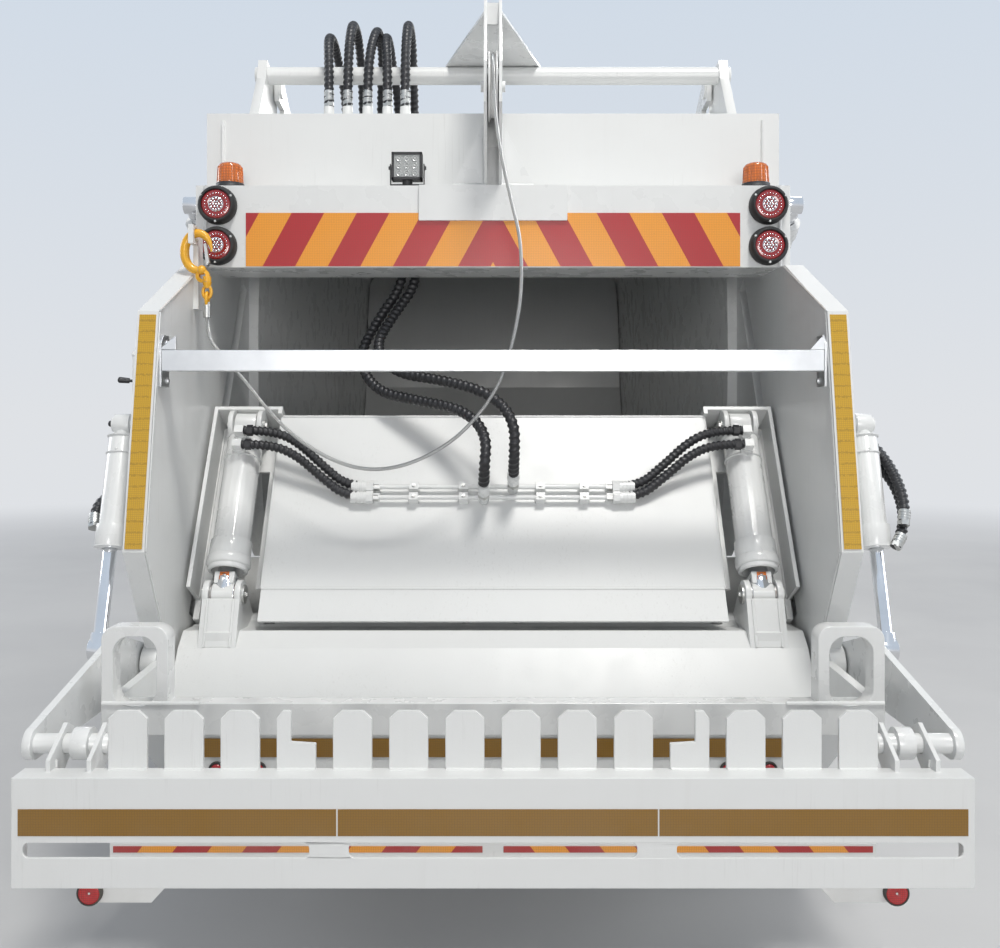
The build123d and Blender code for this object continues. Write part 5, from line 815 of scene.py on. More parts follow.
def tyre(shape, x, y, side):
    """Tread blocks alternate round the shoulders; the ribs between the grooves run right round."""
    wall = [(p, r) for p, r in crown_and_wall]
    outline = [(-p, r) for p, r in reversed(wall[1:])] + wall
    inside = lining + [(-p, r) for p, r in reversed(lining[:-1])]
    section = outline + inside
    count = 144
    rings = []
    for i in range(count):
        a = 2 * pi * i / count
        ring = []
        for p, r in section:
            if r > 484 and abs(p) > 76 and i % 4 == 0:
                r -= 11
            elif r > 502 and i % 4 == 2 and abs(p) < 76:
                r -= 3
            skew = 0.012 * p / 135 if r > 480 else 0
            ring.append(shape.mesh.verts.new((x + side * p, y + r * cos(a + skew), axle_z + r * sin(a + skew))))
        rings.append(ring)
    rings.append(rings[0])
    shape.skin(rings)


for side, hand in zip(sides, ("left", "right")):
    front = Shape()
    tyre(front, side * 995, front_axle_y, side)
    front.piece(f"front_tread_{hand}", f"front_{hand}_wheel", "tyre rubber", "tyre", smooth=32,
                replaces=[f"front_tyre_{hand}"])
    twins = Shape()
    for place in sides:
        tyre(twins, side * 900 + place * 155, rear_axle_y, side)
    twins.piece(f"rear_treads_{hand}", f"rear_{hand}_wheels", "tyre rubber", "tyre", smooth=32,
                replaces=[f"rear_tyres_{hand}"])
    # wheel studs, valve and hub bolts
    studs = Shape()
    for i in range(10):
        a = 2 * pi * i / 10
        spot = (side * (995 + 96), front_axle_y + 143 * cos(a), axle_z + 143 * sin(a))
        studs.rod(Vector(spot) - Vector((side * 6, 0, 0)), Vector(spot) + Vector((side * 12, 0, 0)), 8, sides=12)
    for i in range(8):
        a = 2 * pi * (i + 0.5) / 8
        studs.bolt((side * (995 + 118), front_axle_y + 58 * cos(a), axle_z + 58 * sin(a)), (side, 0, 0), 7)
    studs.rod((side * 1070, front_axle_y + 200, axle_z + 60), (side * 1110, front_axle_y + 190, axle_z + 56), 5,
              sides=10)
    studs.piece(f"front_studs_{hand}", f"front_{hand}_wheel", "zinc steel", "rod_chrome", bevel=0.6)
    studs = Shape()
    for i in range(10):
        a = 2 * pi * i / 10
        spot = (side * (900 + 34), rear_axle_y + 143 * cos(a), axle_z + 143 * sin(a))
        studs.rod(Vector(spot) - Vector((side * 6, 0, 0)), Vector(spot) + Vector((side * 14, 0, 0)), 8, sides=12)
        a += 0.2
        studs.bolt((side * (900 + 132), rear_axle_y + 60 * cos(a), axle_z + 60 * sin(a)), (side, 0, 0), 7)
    studs.piece(f"rear_studs_{hand}", f"rear_{hand}_wheels", "zinc steel", "rod_chrome", bevel=0.6)

# Reflective tapes and sheets
tapes = Shape()
(_, _), (top_y, top_z), (low_y, low_z), (_, _) = cheek_rear
for side in sides:
    x_in, x_out = side * (cheek_inner + 7), side * (cheek_outer - 7)
    tapes.plate([(x_in, top_y - 1, top_z - 12), (x_out, top_y - 1, top_z - 12),
                 (x_out, low_y - 1, low_z + 10), (x_in, low_y - 1, low_z + 10)], (0, -1.4, 0.25))
tapes.piece("tailgate_tapes", "tailgate", "gold tape", "hazard_sheet")
# the rear beam's and the comb's tapes take the gold tape's painted-shade copy
tape = Shape()
tape.plate([(-920, -3660, 724), (920, -3660, 724), (920, -3660, 779), (-920, -3660, 779)], (0, -1.6, 0))
tape.piece("rear_beam_tape", "tailgate", "gold tape in painted shade", "hazard_sheet")
tape = Shape()
for near, far in ((-1188, -392), (-388, 412), (416, 1188)):
    tape.plate([(near, beam_rear_y, 675), (far, beam_rear_y, 675), (far, beam_rear_y, 742), (near, beam_rear_y, 742)],
               (0, -1.4, 0))
tape.piece("comb_tape", "comb", "gold tape in painted shade", "hazard_sheet")
sheet = Shape()
for side in sides:
    near, far = side * 30, side * 1090
    sheet.plate([(near, -3730, 474), (far, -3730, 474), (far, -3730, 492), (near, -3730, 492)], (0, -1.5, 0))
sheet.piece("underrun_sheet", "tailgate", "underrun sheet", "hazard_sheet")

# Lamps
lamp_places = [(side * 1071, z) for side in sides for z in (2550, 2392)]
rims, diodes, glasses, screws = Shape(), Shape(), Shape(), Shape()
for x, z in lamp_places:
    rims.turned([(0, 74), (4, 75), (30, 73), (40, 69), (44, 64), (44, 59), (36, 56), (0, 56)],
                (x, bar_rear_y, z), (0, -1, 0), 56)
    glasses.turned([(0, 2), (34, 2), (34, 20), (37, 24), (40, 50), (36, 57), (0, 57)], (x, bar_rear_y, z),
                   (0, -1, 0), 56)
    for ring_r, count in ((0, 1), (11, 6), (22, 12)):
        for i in range(count):
            a = 2 * pi * i / count
            diodes.dome((x + ring_r * cos(a), bar_rear_y - 36, z + ring_r * sin(a)), (0, -1, 0), 4.6, 0.8, 10)
    diodes.turned([(30, 28), (38, 29), (39, 27), (36, 25), (30, 25)], (x, bar_rear_y, z), (0, -1, 0), 48)
    for i in range(24):
        a = 2 * pi * i / 24
        diodes.dome((x + 43 * cos(a), bar_rear_y - 39, z + 43 * sin(a)), (0, -1, 0), 2.4, 0.5, 8)
    for i in range(3):
        a = 2 * pi * i / 3 + 0.5
        screws.bolt((x + 66 * cos(a), bar_rear_y - 41, z + 66 * sin(a)), (0, -1, 0), 4)
rims.piece("tail_lamp_bezels", "tailgate", "gasket rubber", "black_plastic", bevel=0.8, replaces=["tail_lamp_rings"])
glasses.piece("tail_lamp_faces", "tailgate", "red lens", "lamp_red", replaces=["tail_lamp_lenses"])
diodes.piece("tail_lamp_diodes", "tailgate", "mirror metal", "lamp_clear")
screws.piece("tail_lamp_screws", "tailgate", "zinc steel", "aluminium")

beacon_y = -2620
domes, bases = Shape(), Shape()
for side in sides:
    x = side * 1046
    domes.turned([(20, 5), (20, 50), (26, 51), (92, 47), (100, 42), (104, 34), (106, 20), (106.5, 5)],
                 (x, beacon_y, bar_top_z), (0, 0, 1), 64)
    for i in range(32):
        a = 2 * pi * i / 32
        spot = Vector((x + 50.6 * cos(a), beacon_y + 50.6 * sin(a), bar_top_z + 28))
        domes.rod(spot, spot + Vector((-3.5 * cos(a), -3.5 * sin(a), 62)), 1.7, sides=6)
    bases.turned([(0, 8), (0, 58), (10, 58), (14, 55), (24, 55), (24, 8)], (x, beacon_y, bar_top_z), (0, 0, 1), 48)
    for i in range(3):
        a = 2 * pi * i / 3
        bases.bolt((x + 56 * cos(a), beacon_y + 56 * sin(a), bar_top_z + 12), (cos(a), sin(a), 0), 3)
domes.piece("beacon_domes", "tailgate", "amber lens", "amber", smooth=50, replaces=["beacons"])
bases.piece("beacon_bases", "tailgate", "black plastic", "black_plastic", bevel=1)

# work lamp: finned housing, lens and nine diodes, on a bent yoke; the CAD housing stays inside it
lamp_x, lamp_y, lamp_z = -338, -2650, 2710
housing, optics, yoke = Shape(), Shape(), Shape()
for i in range(9):
    z = lamp_z - 44 + i * 11
    housing.box((lamp_x - 54, lamp_x + 54), (lamp_y + 24, lamp_y + 44), (z, z + 4))
for edge in ((lamp_x - 60, lamp_x - 50), (lamp_x + 50, lamp_x + 60)):
    housing.box(edge, (lamp_y - 33, lamp_y + 20), (lamp_z - 52, lamp_z + 56))
for edge in ((lamp_z - 52, lamp_z - 42), (lamp_z + 46, lamp_z + 56)):
    housing.box((lamp_x - 60, lamp_x + 60), (lamp_y - 33, lamp_y + 20), edge)
housing.piece("work_lamp_housing", "tailgate", "black plastic", "black_plastic", bevel=1.5)
optics.box((lamp_x - 50, lamp_x + 50), (lamp_y - 28, lamp_y - 24), (lamp_z - 42, lamp_z + 46))
for i in range(3):
    for j in range(3):
        spot = (lamp_x - 31 + 31 * i, lamp_y - 28, lamp_z - 27 + 29 * j)
        optics.turned([(-3, 2), (-3, 13), (1, 13), (3, 11), (-1, 4), (-1, 2)], spot, (0, -1, 0), 24)
        optics.dome((spot[0], spot[1] + 1, spot[2]), (0, -1, 0), 5, 0.8, 12)
optics.piece("work_lamp_diodes", "tailgate", "diode lens", "lamp_clear", smooth=50)
yoke.box((lamp_x - 68, lamp_x + 68), (lamp_y - 14, lamp_y + 14), (bar_top_z + 10, bar_top_z + 14))
for side in sides:
    x = lamp_x + side * 66
    yoke.box((x - 2, x + 2), (lamp_y - 14, lamp_y + 14), (bar_top_z + 10, lamp_z + 14))
    yoke.bolt((x + side * 2, lamp_y, lamp_z), (side, 0, 0), 8)
yoke.bolt((lamp_x, lamp_y - 2, bar_top_z + 14), (0, 0, 1), 8)
yoke.piece("work_lamp_yoke", "tailgate", "chassis paint", "chassis_paint", bevel=1)

# red reflectors on the underrun bar's end plates, and small red lamps under the sill
round_reflectors, sockets = Shape(), Shape()
for side in sides:
    x, z = side * 1154, 362
    round_reflectors.turned([(0, 3), (14, 3), (17, 12), (17.5, 26), (15, 31), (0, 31)], (x, -3730, z), (0, -1, 0), 40)
    sockets.turned([(0, 30), (0, 36), (15, 36), (17, 34), (17, 31), (8, 30)], (x, -3730, z), (0, -1, 0), 40)
    for x in (side * 690, side * 812):
        round_reflectors.dome((x, -3664, 688), (0, -1, 0), 17, 0.45, 20)
        sockets.turned([(0, 15), (0, 24), (5, 24), (7, 20), (5, 16)], (x, -3660, 688), (0, -1, 0), 32)
round_reflectors.piece("red_reflectors", "tailgate", "red reflector", "lamp_red", smooth=60)
sockets.piece("reflector_sockets", "tailgate", "gasket rubber", "black_plastic", bevel=0.8)

# Welds: the beads a fabricator lays along the joints of each plate
welds = Shape()
for side in sides:
    welds.bead((side * 30, -2701, bar_top_z + 2), (side * 158, -2701, bar_top_z + 2), 4.5, (0, -1, 1))
    welds.bead((side * 35, -2700, bar_top_z + 4), (side * 35, -2702, bar_top_z + 240), 3.5, (side, -1, 0))
    welds.bead((side * 1119, -2706, 2312), (side * 1119, -2706, 2628), 5, (side, -1, 0))
    welds.bead((side * 1120, -2445, 2312), (side * 1120, -2445, 2960), 5, (-side, -1, 0))
    for a, b in zip(cheek_rear, cheek_rear[1:]):
        welds.bead((side * 1119, a[0] + 12, a[1] - 4), (side * 1119, b[0] + 12, b[1] + 4), 3.2, (-side, 0, 0))
    welds.bead((side * 1008, -2214, 3212), (side * 1008, -2150, 3212), 4, (-side, 0, 0))
welds.bead((-1148, sill_rear_y - 1, sill_z + 1), (-860, sill_rear_y - 1, sill_z + 1), 4, (0, -1, 1))
welds.bead((860, sill_rear_y - 1, sill_z + 1), (1148, sill_rear_y - 1, sill_z + 1), 4, (0, -1, 1))
welds.piece("tailgate_welds", "tailgate", "white paint", "white_paint", smooth=70)

welds = Shape()
for s in (77, 798):
    welds.bead((-838, *on_slide(s, 216)), (838, *on_slide(s, 216)), 3, slide_out)
for side in sides:
    welds.bead((side * 841, *on_slide(78, 214)), (side * 841, *on_slide(795, 214)), 4, (side, *slide_out[1:]))
    welds.bead((side * 1090, *on_slide(80, 112)), (side * 1090, *on_slide(790, 112)), 4, (-side, *slide_out[1:]))
for x in clamp_xs:
    for s in pipe_rows:
        welds.bead((x - 19, *on_slide(s - 15, 217)), (x - 19, *on_slide(s + 15, 217)), 2.2, slide_out)
        welds.bead((x + 19, *on_slide(s - 15, 217)), (x + 19, *on_slide(s + 15, 217)), 2.2, slide_out)
welds.piece("carrier_welds", "carrier", "packer paint", "white_paint", smooth=70)

welds = Shape()
for i in range(14):
    x = (i - 6.5) * 144
    welds.bead((x - 48, -4042, beam_top_z + 1), (x + 48, -4042, beam_top_z + 1), 3.4, (0, -1, 1))
for side in sides:
    for x in (1034, 1126):
        welds.bead((side * x, -4026, beam_top_z - 60), (side * x, -4026, beam_top_z + 20), 3, (0, 1, 0))
welds.piece("comb_welds", "comb", "packer paint", "white_paint", smooth=70)

# Pipe clamp bolts, fitting hexagons, pipe-end nuts and pin bolts on the packer
bolts = Shape()
for x in clamp_xs:
    for s in pipe_rows:
        bolts.bolt((x, *on_slide(s, 256)), slide_out, 7)
for x, s in ((-34, 430), (76, 474)):
    bolts.rod((x, *on_slide(s, 262)), (x, *on_slide(s, 278)), 24, sides=6)
for side in sides:
    for s in pipe_rows:
        bolts.rod((side * 432, *on_slide(s, pipe_t)), (side * 452, *on_slide(s, pipe_t)), 15, sides=6)
    for ear in (-1, 1):
        x = side * cylinder_x + ear * 62
        bolts.bolt((x + ear * 6, *on_slide(757, 222)), (ear, 0, 0), 14)
bolts.piece("carrier_bolts", "carrier", "zinc steel", "aluminium", bevel=0.5)


def cylinder_trim(name, body, base, head, x, radius, finish, slot, ring_r):
    """Gland rings, weld beads round the barrel's ends and a grease nipple."""
    trim = Shape()
    for side in sides:
        a, b = Vector((side * x, *base)), Vector((side * x, *head))
        way = (b - a).normalized()
        for distance, r in ((2, radius + 2.5), (radius * 1.4, radius + 1.2)):
            trim.turned([(-4, r - 4), (-3, r + 1), (0, r + 3.2), (3, r + 1), (4, r - 4)], a + way * distance, way,
                        40)
        trim.turned([(-3, ring_r), (-3, radius + 7), (2, radius + 7.5), (4, radius + 2), (6, ring_r + 6),
                     (6, ring_r)], b + way * 2, way, 40)
        for i in range(8):
            turn = 2 * pi * i / 8
            side_way = way.orthogonal().normalized()
            other = way.cross(side_way)
            trim.bolt(b + way * 4 + (side_way * cos(turn) + other * sin(turn)) * (radius * 0.72 + 4), way, 4.5)
        trim.dome(a + way * 40 + Vector((0, -radius, 0)), (0, -1, 0), 6, 1, 10)
    trim.piece(name, body, finish, slot, smooth=50)


def between(start, end, distance):
    length = hypot(end[0] - start[0], end[1] - start[1])
    return (start[0] + (end[0] - start[0]) * distance / length, start[1] + (end[1] - start[1]) * distance / length)


sweep_anchor, sweep_eye = on_slide(757, 222), (blade_hinge_y - 155, blade_hinge_z + 155)
cylinder_trim("sweep_cylinder_trim", "sweep_barrels", between(sweep_anchor, sweep_eye, 66),
              between(sweep_anchor, sweep_eye, 570), cylinder_x, 68, "white paint", "white_paint", 36)
lift_anchor, lift_eye = (-1450, 1950), (-2380, 2620)
cylinder_trim("lift_cylinder_trim", "lift_barrels", between(lift_anchor, lift_eye, 50),
              between(lift_anchor, lift_eye, 1050), lift_cylinder_x, 50, "white paint", "white_paint", 30)
lifter_anchor, lifter_eye = (-3180, 1700), (-3400, 980)
cylinder_trim("lifter_cylinder_trim", "lifter_barrels", between(lifter_anchor, lifter_eye, 44),
              between(lifter_anchor, lifter_eye, 420), lift_cylinder_x, 44, "white paint", "white_paint", 24)

# rod-eye pin caps of the sweep cylinders, with a bolt on each
tags = Shape()
for side in sides:
    for ear in (-1, 1):
        x = side * cylinder_x + ear * 67
        tags.rod((x, *sweep_eye), (x + ear * 9, *sweep_eye), 34, sides=32)
        tags.bolt((x + ear * 9, *sweep_eye), (ear, 0, 0), 10)
tags.piece("sweep_eye_caps", "blade", "zinc steel", "rod_chrome", bevel=1)


def turned_frame(place, way):
    """A matrix at place whose Z runs along way and whose X stays the truck's."""
    forward = Vector(way).normalized()
    across = Vector((1, 0, 0))
    return Matrix.Translation(place) @ Matrix((across, forward.cross(across), forward)).transposed().to_4x4()


# each sweep rod's painted eye block, its grease tag, and the long gland on the barrel's end
eye_way = Vector((0, sweep_eye[0] - sweep_anchor[0], sweep_eye[1] - sweep_anchor[1])).normalized()
blocks, glands, tags, washers = Shape(), Shape(), Shape(), Shape()
for side in sides:
    frame_here = turned_frame((side * cylinder_x, *between(sweep_anchor, sweep_eye, 640)), eye_way)
    blocks.box((-36, 36), (-37, 37), (-14, 30), turn=frame_here)
    blocks.turned([(-39, 30), (-39, 41), (-37, 42.5), (37, 42.5), (39, 41), (39, 30)],
                  (side * cylinder_x, *sweep_eye), (1, 0, 0), 48)
    tags.box((-17, 17), (37, 39.5), (-12, 18), turn=frame_here)
    for place, radius in ((Vector((0, 40, 3)), 7), (Vector((0, 42, 3)), 4)):
        washers.dome(frame_here @ place, frame_here.to_3x3() @ Vector((0, 1, 0)), radius, 0.4, 14)
    for ear in (-1, 1):
        x = side * cylinder_x + ear * 43
        washers.turned([(-3, 24), (-3, 39), (3, 39), (3, 24)], (x, *sweep_eye), (1, 0, 0), 40)
    glands.turned([(560, 60), (560, 76), (564, 79), (592, 79), (597, 76), (599, 72), (612, 72), (616, 68), (616, 60)],
                  (side * cylinder_x, *sweep_anchor), eye_way, 56)
blocks.piece("sweep_eye_blocks", "sweep_rods", "white paint", "white_paint", bevel=3)
glands.piece("sweep_glands", "sweep_barrels", "white paint", "white_paint", bevel=1.5)
tags.piece("grease_tags", "sweep_rods", "amber lens", "amber", bevel=0.6)
washers.piece("sweep_eye_washers", "sweep_rods", "bare steel", "rod_chrome", bevel=0.6)

# the blade's box arms: the plate that closes their backs, ending below the eye
backs = Shape()
foot, head = Vector((0, -3094, 918)), Vector((0, -3037, 1076))
for side in sides:
    x = side * cylinder_x
    corners = [Vector((x - 48, 0, 0)) + foot, Vector((x + 48, 0, 0)) + foot,
               Vector((x + 48, 0, 0)) + head, Vector((x - 48, 0, 0)) + head]
    backs.plate(corners, (0, 7.5, -2.7))
    backs.plate([Vector((x - 48, 0, 0)) + head, Vector((x + 48, 0, 0)) + head,
                 Vector((x + 48, 16, -22)) + head, Vector((x - 48, 16, -22)) + head], (0, 4, 3))
    for ear in (-1, 1):
        backs.bead((x + ear * 46, foot.y - 2, foot.z), (x + ear * 46, head.y - 2, head.z), 3.4, (0, -0.94, 0.34))
backs.piece("blade_arm_backs", "blade", "packer paint", "white_paint", bevel=1.2, smooth=60)

# Grab bar: a flat box section on a bracket at each cheek
grab_y, grab_z = -3225, 1914
bar = Shape()
bar.box((-cheek_inner + 13, cheek_inner - 13), (grab_y - 36, grab_y + 34), (grab_z - 35, grab_z + 35))
for side in sides:
    edge = sorted((side * (cheek_inner - 12), side * (cheek_inner - 1)))
    bar.plate([(edge[0], grab_y - 34, grab_z - 88), (edge[0], grab_y + 48, grab_z - 88),
               (edge[0], grab_y + 48, grab_z + 88), (edge[0], grab_y - 8, grab_z + 88),
               (edge[0], grab_y - 34, grab_z + 58)], (edge[1] - edge[0], 0, 0))
    near, far = sorted((side * (cheek_inner - 60), side * (cheek_inner - 12)))
    bar.plate([(near, grab_y - 34, grab_z + 36), (far, grab_y - 34, grab_z + 36), (far, grab_y - 34, grab_z + 84),
               (near + (0 if side < 0 else 34), grab_y - 34, grab_z + 44 + (0 if side < 0 else 30))], (0, 8, 0))
    for z in (-66, 62):
        bar.bolt((side * (cheek_inner - 12), grab_y + 26, grab_z + z), (-side, 0, 0), 9)
bar.piece("grab_rail", "tailgate", "aluminium", "aluminium", bevel=5, replaces=["grab_bar"], segments=3)

# Control box on the left cheek, at the place of its CAD box: cover, valve, levers and knob
cover, valve, levers, knob = Shape(), Shape(), Shape(), Shape()
control = Matrix.Translation((-1235, -3033, 1826))
cover.box((-45, 45), (-7, 153), (-128, 134), turn=control)
cover.box((-48, 45), (-10, -4), (-134, 134), turn=control)
for x in (-44, 40):
    for z in (-122, 122):
        cover.bolt(control @ Vector((x, -10, z)), (0, -1, 0), 5)
cover.rod(control @ Vector((-20, -26, 96)), control @ Vector((20, -26, 96)), 5, sides=12)
for x in (-20, 20):
    cover.rod(control @ Vector((x, -26, 96)), control @ Vector((x, -8, 96)), 5, sides=12)
valve.box((-45, 45), (-20, 100), (-196, -128), turn=control)
valve.box((-40, 40), (-26, -18), (-190, -146), turn=control)
for x in (-30, 0, 30):
    valve.bolt(control @ Vector((x, -26, -168)), (0, -1, 0), 6)
for level, out in ((28, 96), (-128, 130), (-186, 108)):
    start, tip = control @ Vector((-46, 10, level)), control @ Vector((-out, 0, level + 4))
    levers.rod(start, tip, 5, sides=12)
    grip = start.lerp(tip, 0.35)
    levers.rod(grip, tip, 9.5, 11, sides=20)
    levers.dome(tip, tip - grip, 11, 0.7, 16)
knob_place, knob_way = control @ Vector((4, -14, -232)), (0, -1, 0.1)
knob.turned([(0, 12), (0, 34), (6, 37), (14, 36), (17, 30), (17, 12)], knob_place, knob_way, 40)
knob.turned([(-6, 2), (-6, 14), (22, 14), (26, 10), (26, 2)], knob_place, knob_way, 24)
cover.piece("control_cover", "tailgate", "white paint", "white_paint", bevel=2, replaces=["control_box"])
valve.piece("control_valve", "tailgate", "black plastic", "black_plastic", bevel=3)
levers.piece("control_levers", "tailgate", "hose rubber", "black_plastic", bevel=0.8, smooth=60)
knob.piece("control_knob", "tailgate", "hook yellow", "hook_yellow", bevel=0.8, smooth=60)
bracket = Shape()
bracket.box((-1198, -1189), (-3052, -2872), (1620, 1968))
bracket.piece("control_bracket", "tailgate", "white paint", "white_paint", bevel=2)

# Cab: seals, wipers, handles, mirror glasses, lamps, grille bars, steps
def front_at(x, z):
    """y of the cab's front surface at a point across and up."""
    y = cab_front_y - max(0, z - screen_foot_z) * 130 / 760
    over = max(0, abs(x) - (cab_half - cab_corner_r))
    return y - (cab_corner_r - (cab_corner_r ** 2 - min(over, cab_corner_r - 5) ** 2) ** 0.5)


def oblong(across, up):
    """The four corners of an upright rectangle, as (across, up)."""
    return [(across[0], up[0]), (across[1], up[0]), (across[1], up[1]), (across[0], up[1])]


def rounded(corners, radius, step=6):
    """A closed flat outline whose corners are rounded, as points."""
    spots = []
    count = len(corners)
    for i in range(count):
        before, here, after = Vector(corners[i - 1]), Vector(corners[i]), Vector(corners[(i + 1) % count])
        start = here + (before - here).normalized() * radius
        end = here + (after - here).normalized() * radius
        for k in range(step + 1):
            t = k / step
            spots.append((1 - t) ** 2 * start + 2 * t * (1 - t) * here + t * t * end)
    return spots


def seal(shape, spots, radius, flank):
    """A rubber section run round a closed line of points."""
    rings = []
    for i, p in enumerate(spots):
        along = (spots[(i + 1) % len(spots)] - spots[i - 1]).normalized()
        rings.append([shape.mesh.verts.new(q) for q in ring_of(p, along, flank, radius, 10)])
    shape.skin(rings + [rings[0]])


def side_seal(shape, corners, corner_r, x, radius):
    """A seal round an opening in a side, its corners given as (y, z)."""
    seal(shape, [Vector((x, p.x, p.y)) for p in rounded(corners, corner_r)], radius, Vector((1, 0, 0)))


def end_seal(shape, corners, corner_r, y, radius):
    """A seal round an opening that faces forward or back, its corners given as (x, z)."""
    seal(shape, [Vector((p.x, y, p.y)) for p in rounded(corners, corner_r)], radius, Vector((0, 1, 0)))


screen = rounded([(-1030, 1830), (1030, 1830), (1000, 2490), (-1000, 2490)], 60)
split = []
for a, b in zip(screen, screen[1:] + screen[:1]):
    pieces = max(1, int((b - a).length / 60))
    split += [a.lerp(b, k / pieces) for k in range(pieces)]
seals = Shape()
seal(seals, [Vector((p.x, front_at(p.x, p.y) - 1, p.y)) for p in split], 13, Vector((0, 1, 0)))
for side in sides:
    side_seal(seals, oblong((2330, 2850), (1800, 2410)), 40, side * (cab_half - 1), 11)
end_seal(seals, oblong((-650, 650), (1875, 2405)), 50, cab_rear_y + 1, 11)
seals.piece("cab_seals", "cab", "gasket rubber", "black_plastic", smooth=60)
for side, hand in zip(sides, ("left", "right")):
    body = f"{hand}_door"
    seals, handle = Shape(), Shape()
    side_seal(seals, [(3050, 1800), (3770, 1770), (3730, 2410), (3050, 2410)], 34, side * (cab_half - 1), 11)
    side_seal(seals, oblong((2976, 3864), (1180, 2464)), 20, side * (cab_half - 3), 5)
    seals.piece(f"door_seals_{hand}", body, "gasket rubber", "black_plastic", smooth=60)
    handle.box((side * 1176 - 8, side * 1176 + 8), (3024, 3176), (1668, 1704))
    handle.box((side * 1152 - 4, side * 1152 + 4), (3012, 3188), (1654, 1718))
    handle.turned([(0, 4), (0, 13), (7, 13), (8, 4)], (side * 1156, 3046, 1640), (side, 0, 0), 24)
    for y in (3040, 3850):
        handle.box((side * 1150, side * 1158), (y - 4, y + 4), (1220, 1560))
    handle.piece(f"door_handle_{hand}", body, "black plastic", "black_plastic", bevel=4, segments=3)

wipers = Shape()
for x, lean in ((-560, 430), (180, 430)):
    foot = Vector((x, front_at(x, 1800) + 22, 1800))
    tip = Vector((x + lean, front_at(x + lean, 2050) + 24, 2050))
    wipers.turned([(-18, 4), (-18, 24), (4, 26), (12, 20), (12, 4)], foot, (0, 1, 0), 24)
    wipers.rod(foot, foot.lerp(tip, 0.5), 10, 7, sides=10)
    wipers.rod(foot.lerp(tip, 0.5), tip, 6, 5, sides=10)
    for k in (-1, 1):
        wipers.rod(tip, tip + Vector((k * 190, -6, -k * 8)), 6, 4, sides=8)
    low = Vector((tip.x - 300, front_at(tip.x - 300, 2036) + 9, tip.z + 6))
    high = Vector((tip.x + 300, front_at(tip.x + 300, 2036) + 9, tip.z - 20))
    wipers.rod(low, high, 7, sides=6)
wipers.piece("wipers", "cab", "black plastic", "black_plastic", bevel=0.8)

mirror_y = 3985
glasses, backs = Shape(), Shape()
for side in sides:
    x = side * (cab_half + 170)
    for low, high in ((1990, 2216), (1864, 1976)):
        corners = oblong((x - 86, x + 86), (low, high))
        glasses.plate([(p.x, mirror_y, p.y) for p in rounded(corners, 20)], (0, -3, 0))
        end_seal(backs, corners, 20, mirror_y - 1, 5)
    backs.rod((x, mirror_y + 3, 2200), (x, mirror_y + 3, 2226), 15, sides=20)
glasses.piece("mirror_glasses", "cab", "mirror metal", "glass")
backs.piece("mirror_rims", "cab", "gasket rubber", "black_plastic", smooth=60)

bars = Shape()
for i in range(5):
    z = 1375 + i * 56
    bars.plate([(-655, 4060, z - 12), (655, 4060, z - 12), (655, 4066, z - 4), (655, 4062, z + 12),
                (-655, 4062, z + 12), (-655, 4066, z - 4)], (0, -2.5, 0))
    for k in range(-10, 11):
        bars.box((k * 62 - 2, k * 62 + 2), (4052, 4066), (z - 14, z + 14))
bars.piece("grille_bars", "cab", "zinc steel", "black_plastic", bevel=0.8)
panel = Shape()
for x in (-560, 560):
    panel.turned([(0, 3), (0, 14), (5, 14), (7, 10), (7, 3)], (x, cab_front_y, 1290), (0, 1, 0), 24)
end_seal(panel, oblong((-820, 820), (1240, 1735)), 40, cab_front_y + 1, 3.5)
panel.piece("service_flap_seam", "cab", "gasket rubber", "black_plastic", smooth=60)

# headlamps: ribbed lenses in bezels, and round amber turn lamps beside them
bowls, amber, bezels = Shape(), Shape(), Shape()
headlamp_x, headlamp_z, turn_x, main_x = 900, 640, 66, -58
for side in sides:
    for x, r in ((side * (headlamp_x + main_x), 60), (side * (headlamp_x + turn_x), 48)):
        bezels.turned([(-30, r + 6), (-4, r + 7), (2, r + 3), (2, r - 3), (-6, r - 4), (-30, r - 4)],
                      (x, front_y - 2, headlamp_z), (0, 1, 0), 56)
    end_seal(bezels, oblong((side * headlamp_x - 128, side * headlamp_x + 128), (564, 716)), 22, front_y - 3, 5)
    x = side * (headlamp_x + turn_x)
    amber.turned([(-6, 2), (-6, 44), (1, 44), (4, 30), (5, 2)], (x, front_y - 4, headlamp_z), (0, 1, 0), 48)
    x = side * (headlamp_x + main_x)
    bowls.turned([(-8, 54), (-8, 57), (-2, 57), (1, 40), (3, 20), (3.5, 3), (-8, 3)], (x, front_y - 4, headlamp_z),
                 (0, 1, 0), 56)
    for i in range(-4, 5):
        half = (52 ** 2 - (i * 11) ** 2) ** 0.5
        rib_x, rib_y = x + i * 11, front_y + 0.5
        bowls.rod((rib_x, rib_y, headlamp_z - half), (rib_x, rib_y, headlamp_z + half), 1.6, sides=6)
bezels.piece("headlamp_bezels", "chassis", "black plastic", "black_plastic", smooth=60)
bowls.piece("headlamp_lenses", "chassis", "clear lens", "lamp_clear", smooth=60)
amber.piece("turn_lamps", "chassis", "amber lens", "amber", smooth=60)

steps, plates = Shape(), Shape()
for side in sides:
    for z in (490, 690):
        for k in range(9):
            y = front_y - 545 + k * 35
            steps.box((side * 1093, side * 1149), (y, y + 9), (z, z + 7))
        steps.box((side * 1091, side * 1149), (front_y - 558, front_y - 252), (z, z + 3))
        steps.box((side * 1144, side * 1150), (front_y - 558, front_y - 252), (z, z + 12))
steps.piece("boarding_treads", "chassis", "aluminium", "aluminium", bevel=0.8)
plates.plate([(x, front_y - 4, z) for x, z in oblong((-262, 262), (770, 846))], (0, 5, 0))
plates.piece("front_plate_blank", "chassis", "aluminium", "aluminium", bevel=2)

